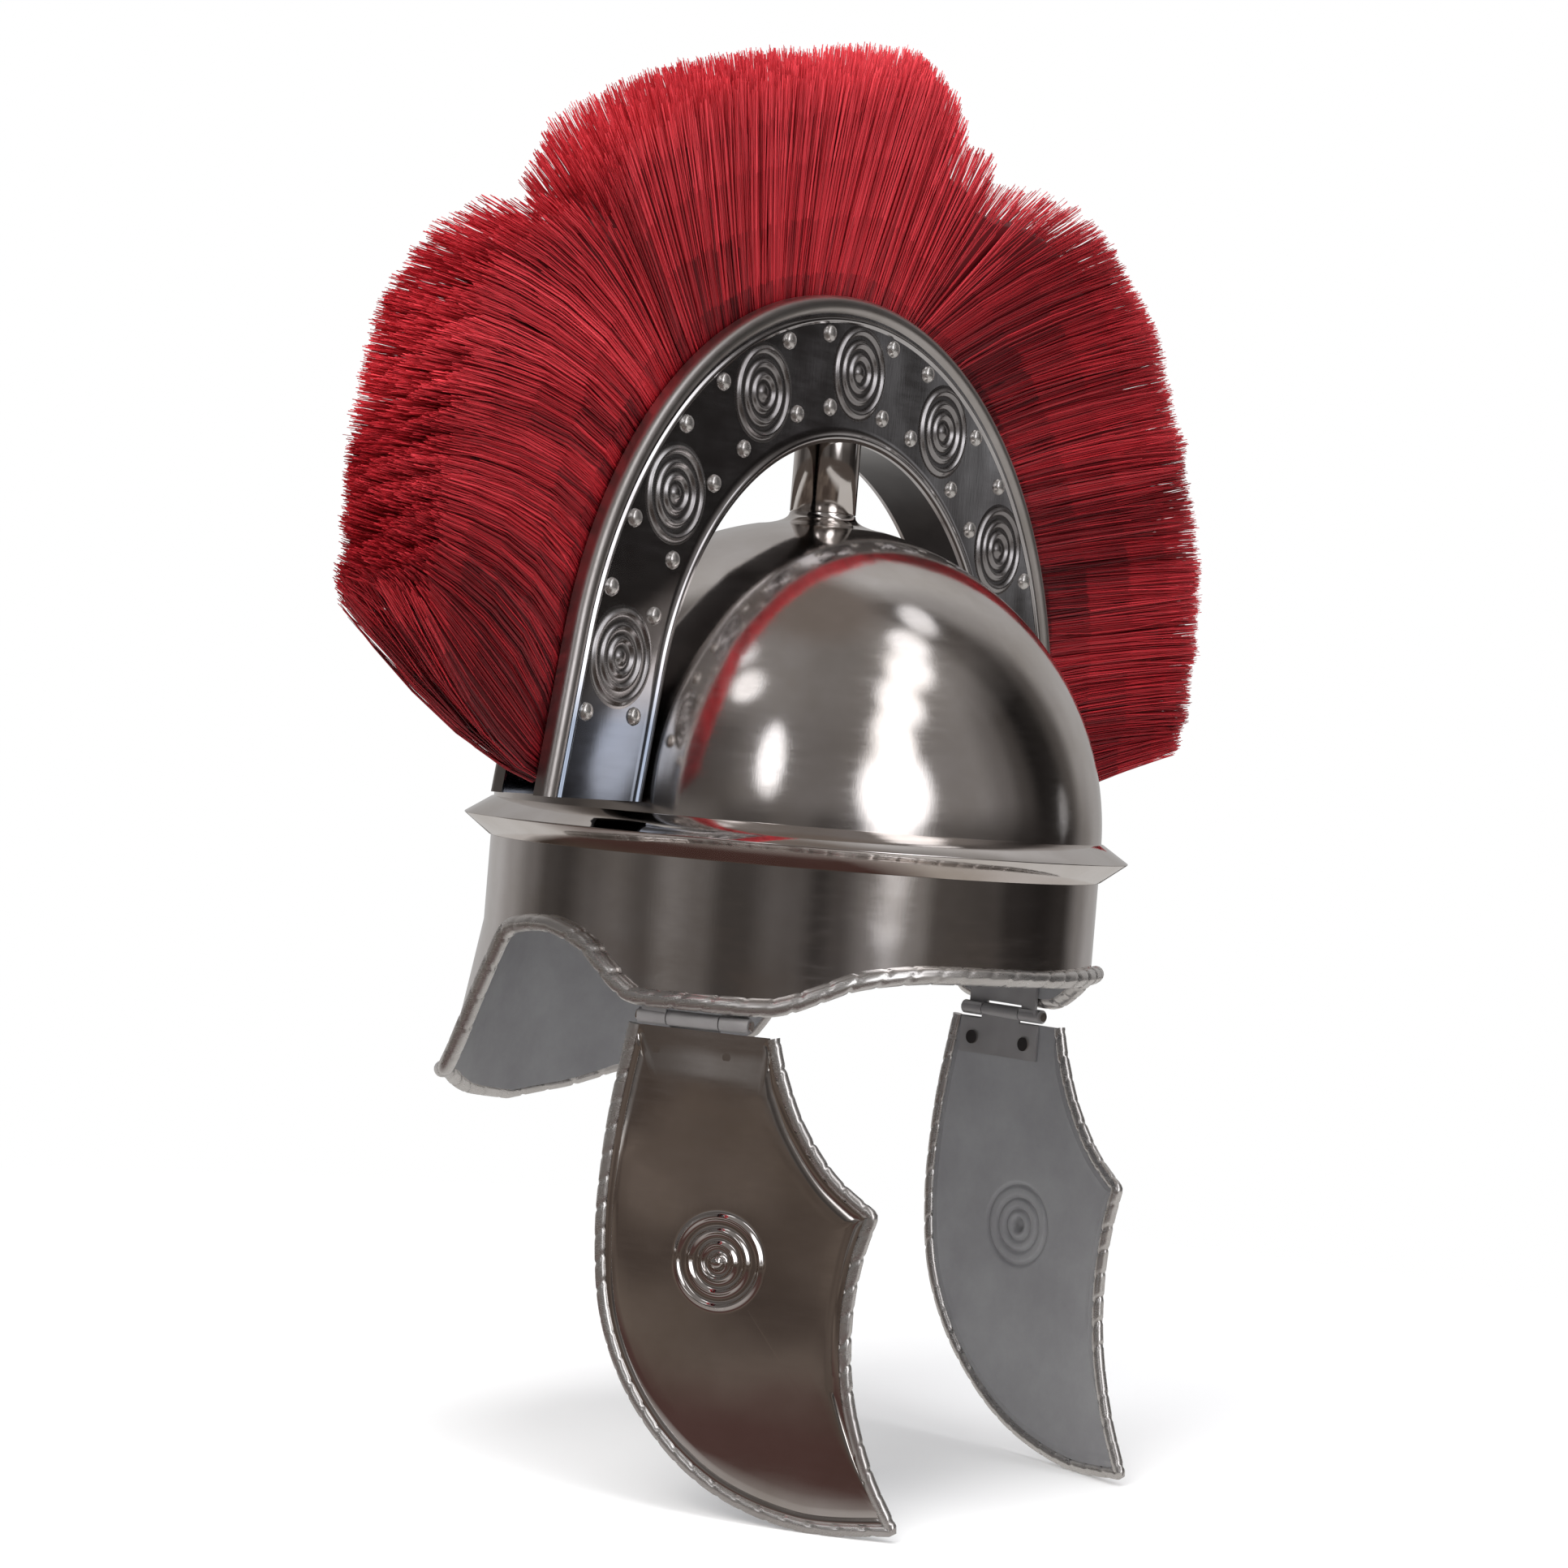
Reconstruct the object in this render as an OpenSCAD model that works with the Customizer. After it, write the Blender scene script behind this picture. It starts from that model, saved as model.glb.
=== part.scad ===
// Plumed helmet with a crest that runs from ear to ear.
// The origin is the centre of the ridge's sharp edge, +Z is up and the face looks along -Y.
// Angles round the head are counted from the front, and angles on the crest from its top.

/* [Bowl] */
// Outer radius of the band round the head
band_r = 110; // [104:1:116]
// Thickness of the steel sheet
sheet = 1.2; // [1:0.1:1.5]
// Height of the dome's centre above the ridge's sharp edge
dome_z = 4.5; // [3:0.5:6]
// Height of the ridge's upper slope
ridge_up = 6.5; // [6:0.5:9]
// Height of the ridge's lower slope
ridge_down = 7.5; // [6:0.5:10]
// How far the ridge's sharp edge stands out of the band
ridge_reach = 10; // [7:0.5:13]

/* [Lower edge] */
// Drop of the lower edge at the brow
brow_drop = 40.5; // [36:0.5:44]
// Drop of the lower edge above the cheek guards
cheek_drop = 55; // [51:0.5:60]
// Drop of the lower edge over the ears
ear_drop = 34.5; // [30:0.5:37]
// Drop of the seam where the neck guard begins
seam_drop = 38; // [37.5:0.5:42]
// Drop of the neck guard's edge at the back
neck_drop = 107; // [95:1:120]
// Slope of the neck guard away from the upright
neck_flare = 9; // [6:1:18]
// Angle round the head where the neck guard begins
neck_start = 117; // [115:1:122]
// Radius of the rolled edge
roll_r = 3; // [2.4:0.1:3.2]

/* [Hinges] */
// Angle round the head of the hinge's middle
hinge_angle = 72; // [69:1:75]
// Angle between the hinge's line and straight ahead
hinge_turn = 13; // [9:1:18]
// Length of the hinge
hinge_len = 40; // [36:1:44]
// Length of the middle knuckle
knuckle_len = 19; // [15:1:22]
// Outer radius of the knuckles
knuckle_r = 2.6; // [2.3:0.1:2.8]
// Radius of the hinge pin
pin_r = 1.2; // [1:0.1:1.5]
// Clearance between the pin and its bores
pin_gap = 0.05; // [0.03:0.01:0.08]
// Height of each hinge leaf
leaf_h = 17; // [15:1:20]
// Thickness of each hinge leaf
leaf_t = 1; // [0.8:0.1:1.2]
// Radius of the hinge rivets
rivet_r = 1.5; // [1.2:0.1:1.8]

/* [Cheek guards] */
// Drop of the cheek guard's tip below the hinge
cheek_len = 160; // [145:1:175]
// Reach of the cheek guard's tip in front of the hinge's middle
cheek_reach = 82; // [74:1:90]
// Radius to which the cheek guard is bent
cheek_bend = 350; // [300:10:600]
// Drop of the boss below the hinge
boss_drop = 79; // [70:1:88]
// Reach of the boss in front of the hinge's middle
boss_reach = 16; // [10:1:20]
// Radius of the cheek guard's rolled edge
cheek_roll_r = 2.2; // [1.8:0.1:2.4]

/* [Crest box] */
// Height of the crest arch's centre above the ridge's sharp edge
crest_z = 37; // [34:1:42]
// Inner radius of the crest arch
crest_in_r = 106; // [105:0.5:110]
// Clearance between the crest's legs and the dome
crest_gap = 1.6; // [1.2:0.1:3]
// Radial depth of the crest box
crest_height = 52; // [48:1:56]
// Width of the crest box from front to back
crest_width = 22; // [20:0.5:26]
// Thickness of the crest's plates
plate_t = 1; // [0.8:0.1:1.2]
// Height of the crest's feet above the ridge's sharp edge
foot_z = 10; // [8:0.5:14]
// Width of the slot that the hair comes out of
slot_w = 13; // [12:0.5:14]
// Outer radius of the crest's tube
tube_r = 12; // [11:0.1:12.6]
// Wall of the crest's tube
tube_wall = 0.85; // [0.8:0.05:1.2]
// Height of the neck that the tube stands on above the dome's top
neck_h = 2.5; // [2:0.5:4]
// Clearance between the crest's tube and the spigot
spigot_gap = 0.05; // [0.03:0.01:0.1]

/* [Ring ornaments] */
// Number of ring ornaments on each face of the crest
motif_count = 7; // [5:2:7]
// Angle from one ring ornament to the next
motif_step = 27; // [25:0.5:28]
// Radius of a ring ornament
motif_r = 16.5; // [14:0.5:17]
// Angle from a ring ornament to its beads
bead_angle = 8.4; // [8:0.1:9]
// Radius of a bead
bead_r = 3.2; // [2.6:0.1:3.6]

/* [Plume] */
// Number of hair tufts along the crest
tuft_count = 8; // [6:1:8]
// Number of strands along each tuft
strand_columns = 12; // [10:1:12]
// Number of strands across each tuft
strand_rows = 4; // [3:1:4]
// Width of the hair where it is rooted
hair_root_w = 8.4; // [7:0.2:9]
// Width of the hair at its tips
hair_tip_w = 40; // [30:1:50]
// Length of the hair from its root to the longest tips
hair_len = 120; // [95:1:130]

/* [Hidden] */
$fn = 96;

steel = "silver";
rolled = "gainsboro";
bronze = "dimgray";
hair = "firebrick";

// Curves through hand-picked points
function mix(a, b, t) = a + (b - a) * t;
function bend(a, b, c, d, t) =
    0.5 * (2 * b + (c - a) * t + (2 * a - 5 * b + 4 * c - d) * t * t + (3 * b - a - 3 * c + d) * t * t * t);
function smooth(p, n) = let (e = len(p) - 1) concat(
    [for (i = [0 : e - 1], j = [0 : n - 1])
        bend(p[max(i - 1, 0)], p[i], p[i + 1], p[min(i + 2, e)], j / n)],
    [p[e]]);
function unit(v) = v / norm(v);
function quad(a, b, c, d) = [[a, c, b], [a, d, c]];

// A closed skin through rings of points that all have the same count
module loft(rings, closed = false) {
    n = len(rings[0]);
    m = len(rings);
    spans = closed ? m : m - 1;
    sides = [for (i = [0 : spans - 1], k = [0 : n - 1])
        each quad(i * n + k, i * n + (k + 1) % n, ((i + 1) % m) * n + (k + 1) % n, ((i + 1) % m) * n + k)];
    ends = closed ? [] : [
        for (k = [1 : n - 2]) each [[0, k, k + 1], [(m - 1) * n, (m - 1) * n + k + 1, (m - 1) * n + k]]];
    polyhedron([for (r = rings) each r], concat(sides, ends), convexity = 8);
}

// A bead along a path: each frame holds the place, the side that out gives and the side across
function frame_at(path, out, a, i, b) = let (t = unit(path[b] - path[a]), u = unit(out[i] - (out[i] * t) * t))
    [path[i], u, cross(t, u)];
function at_frame(f, p) = f[0] + p[0] * f[1] + p[1] * f[2];
function ringed(frames, section) = [for (f = frames) [for (p = section) at_frame(f, p)]];

// The head: the outer radius at a height, and a point on the lower edge
head_in = band_r - sheet;
function flared(p) = abs(p[0]) > neck_start ? max(0, p[1] - seam_drop) : 0;
function around(a, r, z) = [r * sin(a), -r * cos(a), z];
function angle_of(p) = atan2(p[0], -p[1]);
function behind(turn, down) = [mix(neck_start, 180, turn), mix(seam_drop, neck_drop, down)];
edge_points = [
    [0, brow_drop], [26, brow_drop - 0.5],
    [hinge_angle - 36, mix(brow_drop, cheek_drop, 0.05)],
    [hinge_angle - 28, mix(brow_drop, cheek_drop, 0.25)],
    [hinge_angle - 22, mix(brow_drop, cheek_drop, 0.58)],
    [hinge_angle - 16, mix(brow_drop, cheek_drop, 0.9)],
    [hinge_angle - 11, cheek_drop], [hinge_angle, cheek_drop], [hinge_angle + 10, cheek_drop],
    [hinge_angle + 14, mix(cheek_drop, ear_drop, 0.15)],
    [hinge_angle + 18, mix(cheek_drop, ear_drop, 0.45)],
    [hinge_angle + 22, mix(cheek_drop, ear_drop, 0.75)],
    [hinge_angle + 27, mix(cheek_drop, ear_drop, 0.92)],
    [neck_start - 13, ear_drop],
    [neck_start - 6, mix(ear_drop, seam_drop, 0.3)],
    [neck_start, seam_drop + 1],
    behind(0.055, 0.17), behind(0.12, 0.39), behind(0.175, 0.57), behind(0.23, 0.7), behind(0.3, 0.78),
    behind(0.445, 0.81), behind(0.59, 0.845), behind(0.68, 0.895), behind(0.795, 0.95), behind(1, 1)];
edge_steps = 3;
back_steps = 30;
seam_index = 15 * edge_steps;
edge = smooth(edge_points, edge_steps);
back_index = len(edge) - 1;
edge_loop = concat(
    [for (i = [back_index : -1 : 1]) [-edge[i][0], edge[i][1]]],
    [for (i = [0 : back_index - 1]) edge[i]]);
edge_path = [for (p = edge_loop) around(p[0], head_in + roll_r + flared(p) * tan(neck_flare), -p[1])];
edge_out = [for (p = edge_loop) let (tilt = neck_flare * min(1, flared(p) / 4))
    around(p[0], cos(tilt), sin(tilt))];
edge_count = len(edge_loop);
edge_frames = [for (i = [0 : edge_count - 1])
    frame_at(edge_path, edge_out, (i + edge_count - 1) % edge_count, i, (i + 1) % edge_count)];
band_frames = [for (i = [back_index - seam_index : back_index + seam_index]) edge_frames[i]];
neck_frames = [for (i = [back_index + seam_index : edge_count + back_index - seam_index])
    edge_frames[i % edge_count]];

// The rolled edge turns outward from the sheet, which ends on the roll's ledge
ledge = sqrt(2 * roll_r * sheet - sheet * sheet);
lip_out = [sheet - roll_r, -ledge];
lip_in = [-roll_r, -ledge];
roll_section = concat([lip_out], [for (a = [-90 : 45 : 180]) roll_r * [cos(a), sin(a)]], [lip_in]);

// The hinge: the axis runs through hinge_at along the line that hinge_turn gives
hinge_gap = 0.7;
seat_gap = 0.1;
hinge_z = -(cheek_drop + roll_r + knuckle_r + hinge_gap);
leaf_out = head_in - seat_gap;
leaf_in = leaf_out - leaf_t;
hinge_at = around(hinge_angle, leaf_in - 0.6, hinge_z);
knuckle_gap = 0.4;
slot_half = knuckle_len / 2 + knuckle_gap / 2;
tongue_half = knuckle_len / 2 - knuckle_gap / 2;
leaf_half = hinge_len / 2 - 1;
leaf_turn = asin(leaf_half / band_r);
wrap_in = 0.3;
rivet_reach = hinge_len * 0.325;
rivet_drop = leaf_h * 0.65;
rivet_rise = leaf_h * 0.76;
rivet_turn = asin(rivet_reach / band_r);
head_t = 0.9;
head_r = rivet_r + 1.1;
bore_r = pin_r + pin_gap;
module at_hinge() translate(hinge_at) rotate(270 - hinge_turn) children();
module along_x(r, a, b) translate([a, 0, 0]) rotate([0, 90, 0]) cylinder(r = r, h = b - a);
module band_rivet_spots(angle) for (side = [-1, 1])
    rotate(angle + side * rivet_turn - 90) translate([0, 0, hinge_z + rivet_rise])
        rotate([0, 90, 0]) children();

// The cheek guard in the hinge's frame: x runs forward, y outward
cheek_top = -knuckle_r - 0.6;
cheek_y = sheet;
function cheek_shell(x, r) = cheek_y - cheek_bend + sqrt(r * r - (x - boss_reach) * (x - boss_reach));
function placed(p) = [for (q = p) [q[0] * cheek_reach, q[1] * cheek_len]];
top_rear = [-hinge_len / 2 - 2, cheek_top];
top_front = [hinge_len / 2 + 9, cheek_top];
cheek_tip = [cheek_reach, -cheek_len];
cheek_point = [cheek_reach * 0.82, -cheek_len * 0.363];
rear_curve = smooth(concat([top_rear],
    placed([[-0.335, -0.24], [-0.35, -0.46], [-0.28, -0.66], [-0.08, -0.83], [0.23, -0.955], [0.62, -1.012]]),
    [cheek_tip]), 5);
lower_curve = smooth(concat([cheek_tip],
    placed([[0.875, -0.885], [0.78, -0.74], [0.75, -0.59], [0.772, -0.46]]), [cheek_point]), 4);
upper_curve = smooth(concat([cheek_point],
    placed([[0.64, -0.295], [0.49, -0.195], [0.395, -0.09]]), [top_front]), 4);
cheek_outline = concat(rear_curve,
    [for (i = [1 : len(lower_curve) - 1]) lower_curve[i]],
    [for (i = [1 : len(upper_curve) - 1]) upper_curve[i]]);
cheek_last = len(cheek_outline) - 1;
cheek_path = [for (p = cheek_outline) [p[0], cheek_shell(p[0], cheek_bend - sheet / 2), p[1]]];
cheek_frames = [for (i = [0 : cheek_last])
    frame_at(cheek_path, [for (p = cheek_path) [0, 1, 0]], max(i - 1, 0), i, min(i + 1, cheek_last))];
cheek_section = [for (k = [0 : 7]) cheek_roll_r * [cos(45 * k + 22.5), sin(45 * k + 22.5)]];
cheek_inner = [for (f = cheek_frames) let (p = at_frame(f, [0, cheek_roll_r * cos(22.5)])) [p[0], p[2]]];
module from_bend() translate([boss_reach, cheek_y - cheek_bend, 0]) children();
module cheek_rivet_spots() for (x = [-rivet_reach, rivet_reach])
    from_bend() rotate(-asin((x - boss_reach) / cheek_bend)) translate([0, 0, -rivet_drop])
        rotate([-90, 0, 0]) children();

// The crest: an arch over leg_angle to each side, and straight legs that run on from it
leg_angle = acos((band_r + crest_gap - crest_in_r) / (crest_z - dome_z));
crest_out_r = crest_in_r + crest_height;
crest_half = crest_width / 2;
leg_len = (crest_z - foot_z + crest_out_r * cos(leg_angle)) / sin(leg_angle) + crest_width;
hair_foot_z = foot_z * 1.4;
soffit_t = 1.2;
panel_mid = crest_in_r + crest_height * 0.49;
function arch_r(r, b) = r / cos(max(0, abs(b) - leg_angle));
module half_crest() {
    rotate([90, 0, 0]) rotate([0, 0, 90 - leg_angle]) rotate_extrude(angle = leg_angle + 10) children();
    rotate([90, 0, 0]) rotate([0, 0, 90 - leg_angle]) rotate([90, 0, 0]) linear_extrude(leg_len) children();
}
module along_crest(bottom) intersection() {
    translate([0, 0, crest_z]) for (side = [0, 1]) mirror([side, 0, 0]) half_crest() children();
    translate([-crest_out_r * 1.5, -crest_width, bottom])
        cube([crest_out_r * 3, crest_width * 2, crest_out_r * 2]);
}

// The dome's neck carries the tube, which slides on the spigot
dome_top = dome_z + band_r;
neck_z = dome_top + neck_h;
tube_z = neck_z + 0.3;
spigot_r = tube_r - tube_wall - spigot_gap;
seat_r = spigot_r - 1.5;
seat_depth = 7;
spigot_top = crest_z + sqrt(pow(crest_in_r, 2) - pow(spigot_r, 2)) - 0.3;

// A ring ornament stands on the plane z = 0 and sinks into the sheet under it
sunk = 0.7;
function ring_bump(r) = [[r - 1.5, 0.2], [r - 0.5, 1.1], [r + 0.5, 1.1], [r + 1.5, 0.2]];
module ring_ornament(boss) rotate_extrude() polygon(concat(
    [[0, -sunk], [0, boss], [motif_r * 0.12, boss * 0.85], [motif_r * 0.2, 0.2]],
    ring_bump(motif_r * 0.36), ring_bump(motif_r * 0.62), ring_bump(motif_r - 1.5), [[motif_r, -sunk]]));
module bead() rotate_extrude() polygon([
    [0, -sunk], [0, bead_r * 0.7], [bead_r * 0.45, bead_r * 0.6], [bead_r * 0.8, bead_r * 0.35],
    [bead_r * 1.05, -sunk]]);

module dome() color(steel) {
    flare_r = tube_r * 2;
    flare_z = dome_z + sqrt(pow(band_r, 2) - pow(flare_r, 2)) - 0.2;
    difference() {
        union() {
            difference() {
                translate([0, 0, dome_z]) sphere(band_r);
                translate([0, 0, dome_z]) sphere(head_in);
                translate([0, 0, ridge_up - band_r * 3]) cylinder(r = band_r * 2, h = band_r * 3);
            }
            rotate_extrude() polygon(concat(
                [[seat_r - 1, dome_top - sheet], [seat_r - 1, neck_z]],
                [for (t = [0 : 0.2 : 1]) [
                    mix(tube_r, mix(tube_r, flare_r, t), t),
                    mix(mix(neck_z, dome_top - 1, t), mix(dome_top - 1, flare_z, t), t)]],
                [[flare_r, flare_z - 0.6], [tube_r, dome_top - sheet - 0.3]]));
        }
        translate([0, 0, dome_top - 10]) cylinder(r = seat_r, h = 20);
    }
}

module ridge() color(steel) rotate_extrude() polygon([
    [band_r, ridge_up], [band_r + ridge_reach - 0.6, 0.5], [band_r + ridge_reach, 0],
    [band_r + ridge_reach - 0.6, -0.5], [band_r, -ridge_down], [head_in, -ridge_down],
    [band_r + ridge_reach - 2.5, 0], [head_in, ridge_up]]);

module rivet_holes(angle) band_rivet_spots(angle) translate([0, 0, head_in - 4 * sheet])
    cylinder(r = rivet_r + seat_gap / 2, h = 8 * sheet);

module brow_band() color(steel) difference() {
    loft(concat(
        [for (f = band_frames) let (lip = at_frame(f, lip_out), a = angle_of(lip))
            [around(a, head_in, -ridge_down), around(a, band_r, -ridge_down), lip, at_frame(f, lip_in)]],
        [for (k = [1 : back_steps - 1]) let (a = mix(neck_start, 360 - neck_start, k / back_steps))
            [around(a, head_in, -ridge_down), around(a, band_r, -ridge_down),
             around(a, band_r, -seam_drop), around(a, head_in, -seam_drop)]]), closed = true);
    rivet_holes(hinge_angle);
    rivet_holes(-hinge_angle);
}

module band_edge_roll() color(rolled) loft(ringed(band_frames, roll_section));

module neck_guard() color(steel) loft([
    for (f = neck_frames) let (lip = at_frame(f, lip_out), a = angle_of(lip)) if (lip[2] < -seam_drop - 0.5)
        [around(a, head_in, -seam_drop), around(a, band_r, -seam_drop), lip, at_frame(f, lip_in)]]);

module neck_edge_roll() color(rolled) loft(ringed(neck_frames, roll_section));

module crest_spigot() color(rolled) {
    translate([0, 0, dome_top - seat_depth]) cylinder(r = seat_r, h = neck_z - dome_top + seat_depth + 1);
    translate([0, 0, neck_z]) cylinder(r = spigot_r, h = spigot_top - neck_z);
}

module band_leaf() color(bronze) difference() {
    union() {
        rotate(hinge_angle - 90 - leaf_turn) rotate_extrude(angle = 2 * leaf_turn)
            translate([leaf_in, hinge_z]) square([leaf_t, leaf_h]);
        at_hinge() for (side = [0, 1]) mirror([side, 0, 0]) {
            along_x(knuckle_r, tongue_half, hinge_len / 2);
            translate([tongue_half, wrap_in - knuckle_r, -wrap_in])
                cube([leaf_half - tongue_half, leaf_t, knuckle_r]);
        }
    }
    at_hinge() {
        along_x(bore_r, -hinge_len, hinge_len);
        translate([-slot_half, -leaf_h, -leaf_h])
            cube([2 * slot_half, 2 * leaf_h, leaf_h + knuckle_r + hinge_gap]);
    }
    rivet_holes(hinge_angle);
}

module hinge_pin() color(rolled) at_hinge() {
    along_x(pin_r, -hinge_len / 2 - 0.2, hinge_len / 2 + 0.2);
    for (side = [0, 1]) mirror([side, 0, 0]) along_x(pin_r + 0.5, hinge_len / 2 + 0.1, hinge_len / 2 + 0.9);
}

module band_rivet() translate([0, 0, leaf_in - seat_gap - head_t]) {
    cylinder(r = head_r, h = head_t);
    cylinder(r = rivet_r, h = band_r - leaf_in + seat_gap + head_t);
}

module band_rivets() color(rolled) {
    band_rivet_spots(hinge_angle) band_rivet();
    band_rivet_spots(-hinge_angle) band_rivet();
}

cheek_leaf_out = cheek_bend - sheet - seat_gap;
cheek_leaf_in = cheek_leaf_out - leaf_t;
module bent(r_out, r_in) from_bend() translate([0, 0, -cheek_len * 1.5]) difference() {
    cylinder(r = r_out, h = cheek_len * 2);
    translate([0, 0, -1]) cylinder(r = r_in, h = cheek_len * 2 + 2);
}
module cheek_rivet_holes() cheek_rivet_spots() translate([0, 0, cheek_bend - 5 * sheet])
    cylinder(r = rivet_r + seat_gap / 2, h = 10 * sheet);

module cheek_guard() color(steel) at_hinge() difference() {
    union() {
        intersection() {
            translate([0, boss_reach, 0]) rotate([90, 0, 0]) linear_extrude(cheek_reach) polygon(cheek_inner);
            bent(cheek_bend, cheek_bend - sheet);
        }
        translate([boss_reach, cheek_y, -boss_drop]) rotate([-90, 0, 0]) ring_ornament(3.2);
    }
    cheek_rivet_holes();
}

module cheek_roll() color(rolled) at_hinge() loft(ringed(cheek_frames, cheek_section));

module cheek_leaf() color(bronze) at_hinge() difference() {
    union() {
        intersection() {
            bent(cheek_leaf_out, cheek_leaf_in);
            union() {
                translate([-leaf_half, -leaf_h, -leaf_h])
                    cube([2 * leaf_half, 2 * leaf_h, leaf_h + cheek_top - 0.4]);
                translate([-tongue_half, -leaf_h, -leaf_h]) cube([2 * tongue_half, 2 * leaf_h, leaf_h]);
            }
        }
        along_x(knuckle_r, -tongue_half, tongue_half);
    }
    along_x(bore_r, -hinge_len, hinge_len);
    cheek_rivet_holes();
}

module cheek_rivets() color(rolled) at_hinge() cheek_rivet_spots()
    translate([0, 0, cheek_leaf_in - seat_gap - head_t]) {
        cylinder(r = head_r, h = head_t);
        cylinder(r = rivet_r, h = cheek_bend - cheek_leaf_in + seat_gap + head_t);
    }

module crest_plate() {
    groove_r = crest_out_r - 8.5;
    along_crest(foot_z) polygon([
        [crest_in_r, crest_half - plate_t], [crest_in_r, crest_half + 0.6],
        [crest_in_r + 0.8, crest_half + 1.2], [crest_in_r + 3, crest_half + 1.2],
        [crest_in_r + 4, crest_half],
        [groove_r - 1.2, crest_half], [groove_r - 0.4, crest_half + 0.9],
        [groove_r + 0.4, crest_half + 0.9], [groove_r + 1.2, crest_half],
        [crest_out_r - 7, crest_half], [crest_out_r - 6, crest_half + 1.2],
        [crest_out_r - 4, crest_half + 1.8], [crest_out_r - 1.5, crest_half + 1.2],
        [crest_out_r, crest_half - 0.3], [crest_out_r, slot_w / 2],
        [crest_out_r - plate_t, slot_w / 2], [crest_out_r - plate_t, crest_half - plate_t]]);
    for (i = [0 : motif_count - 1]) {
        a = (i - (motif_count - 1) / 2) * motif_step;
        crest_spot(panel_mid, a) ring_ornament(1.4);
        for (side = [-1, 1], reach = [-1, 1])
            crest_spot(panel_mid + reach * motif_r * 0.79, a + side * bead_angle) bead();
    }
}
module crest_spot(r, a) translate([arch_r(r, a) * sin(a), -crest_half, crest_z + arch_r(r, a) * cos(a)])
    rotate([90, 0, 0]) children();

module crest_front() color(steel) crest_plate();
module crest_back() color(steel) mirror([0, 1, 0]) crest_plate();
module crest_soffit() color(steel) along_crest(foot_z)
    translate([crest_in_r, -crest_half + plate_t]) square([soffit_t, crest_width - 2 * plate_t]);

module crest_tube() color(steel) intersection() {
    translate([0, 0, tube_z]) difference() {
        cylinder(r = tube_r, h = crest_in_r);
        translate([0, 0, -1]) cylinder(r = tube_r - tube_wall, h = crest_in_r + 2);
    }
    translate([0, 0, crest_z]) rotate([90, 0, 0])
        cylinder(r = crest_in_r, h = crest_width * 2, center = true);
}

// The hair is rooted in a thin strip on the base block
base_in_r = crest_in_r + crest_height * 0.23;
base_out_r = crest_in_r + crest_height * 0.65;
root_r = crest_in_r + crest_height * 0.79;
module plume_base() color(bronze) along_crest(hair_foot_z)
    translate([base_in_r, -crest_half + plate_t + 0.2])
        square([base_out_r - base_in_r, crest_width - 2 * plate_t - 0.4]);

// Each line gives an angle of the root, the angle that its tip leans to, how far out the tip lies as a share
// of the full length, the way that the hair leaves the crest, and how far along that way its bend lies
foot_angle = leg_angle + atan((cos(leg_angle) + (crest_z - hair_foot_z) / root_r) / sin(leg_angle));
lean = [
    [-foot_angle, -81.7, 0.84, -80, 0.35], [-94, -80.9, 0.9, -38, 0.42], [-87, -78.8, 0.94, -38, 0.38],
    [-80.5, -76.5, 0.96, -43, 0.37], [-74, -75, 0.99, -49, 0.36], [-68, -73.7, 1.01, -55, 0.35],
    [-62, -71, 1.02, -57, 0.37], [-56, -67.8, 1.05, -57, 0.38], [-48.6, -62.9, 1.08, -56, 0.45],
    [-44, -56.6, 1.02, -52, 0.53], [-41.5, -50.8, 0.9, -49, 0.55],
    [-40, -45.7, 0.73, -47.5, 0.39], [-39, -45.2, 0.86, -48, 0.43], [-35, -40.1, 0.92, -44, 0.45],
    [-29.7, -31.1, 0.87, -32, 0.42], [-20, -20.9, 0.83, -20, 0.4], [-10, -7.9, 0.82, -4, 0.4],
    [0, 5, 0.91, 12, 0.45], [5, 7.7, 0.92, 16, 0.43], [9, 11.9, 0.85, 18, 0.42],
    [11, 14.2, 0.74, 22, 0.38], [12.2, 18.5, 0.79, 31, 0.42], [13.2, 19.7, 0.69, 36, 0.35],
    [14.2, 27.5, 0.84, 44, 0.43], [15.4, 34.2, 0.99, 49, 0.47], [17, 39, 1.07, 52, 0.48],
    [20.5, 43.7, 1.11, 54, 0.48], [27, 48.5, 1.16, 58, 0.47], [34.4, 53.6, 1.18, 63, 0.46],
    [44, 59.6, 1.19, 70, 0.46], [54, 66.5, 1.2, 76, 0.46], [63, 72.3, 1.22, 80, 0.46],
    [72, 76.2, 1.19, 80, 0.46], [76.4, 79.1, 1.18, 79, 0.43], [83.5, 81.6, 1.13, 73, 0.42],
    [91, 86.2, 1.08, 70, 0.38], [foot_angle, 88.3, 0.96, 72, 0.35]];
function column(n) = [for (p = lean) [p[0], p[n]]];
tip_angle = column(1);
tip_share = column(2);
knee_angle = column(3);
knee_share = column(4);
function hair_point(b, y, t) = let (
    r = arch_r(root_r, b),
    a = lookup(b, tip_angle),
    tip_r = r + hair_len * lookup(b, tip_share),
    k = lookup(b, knee_angle),
    root = r * [sin(b), cos(b)],
    knee = root + hair_len * lookup(b, knee_share) * [sin(k), cos(k)],
    p = pow(1 - t, 2) * root + 2 * t * (1 - t) * knee + t * t * tip_r * [sin(a), cos(a)],
    w = 1 + (hair_tip_w / hair_root_w - 1) * pow(t, 1.3))
    [p[0], y * w, crest_z + p[1]];

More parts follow.
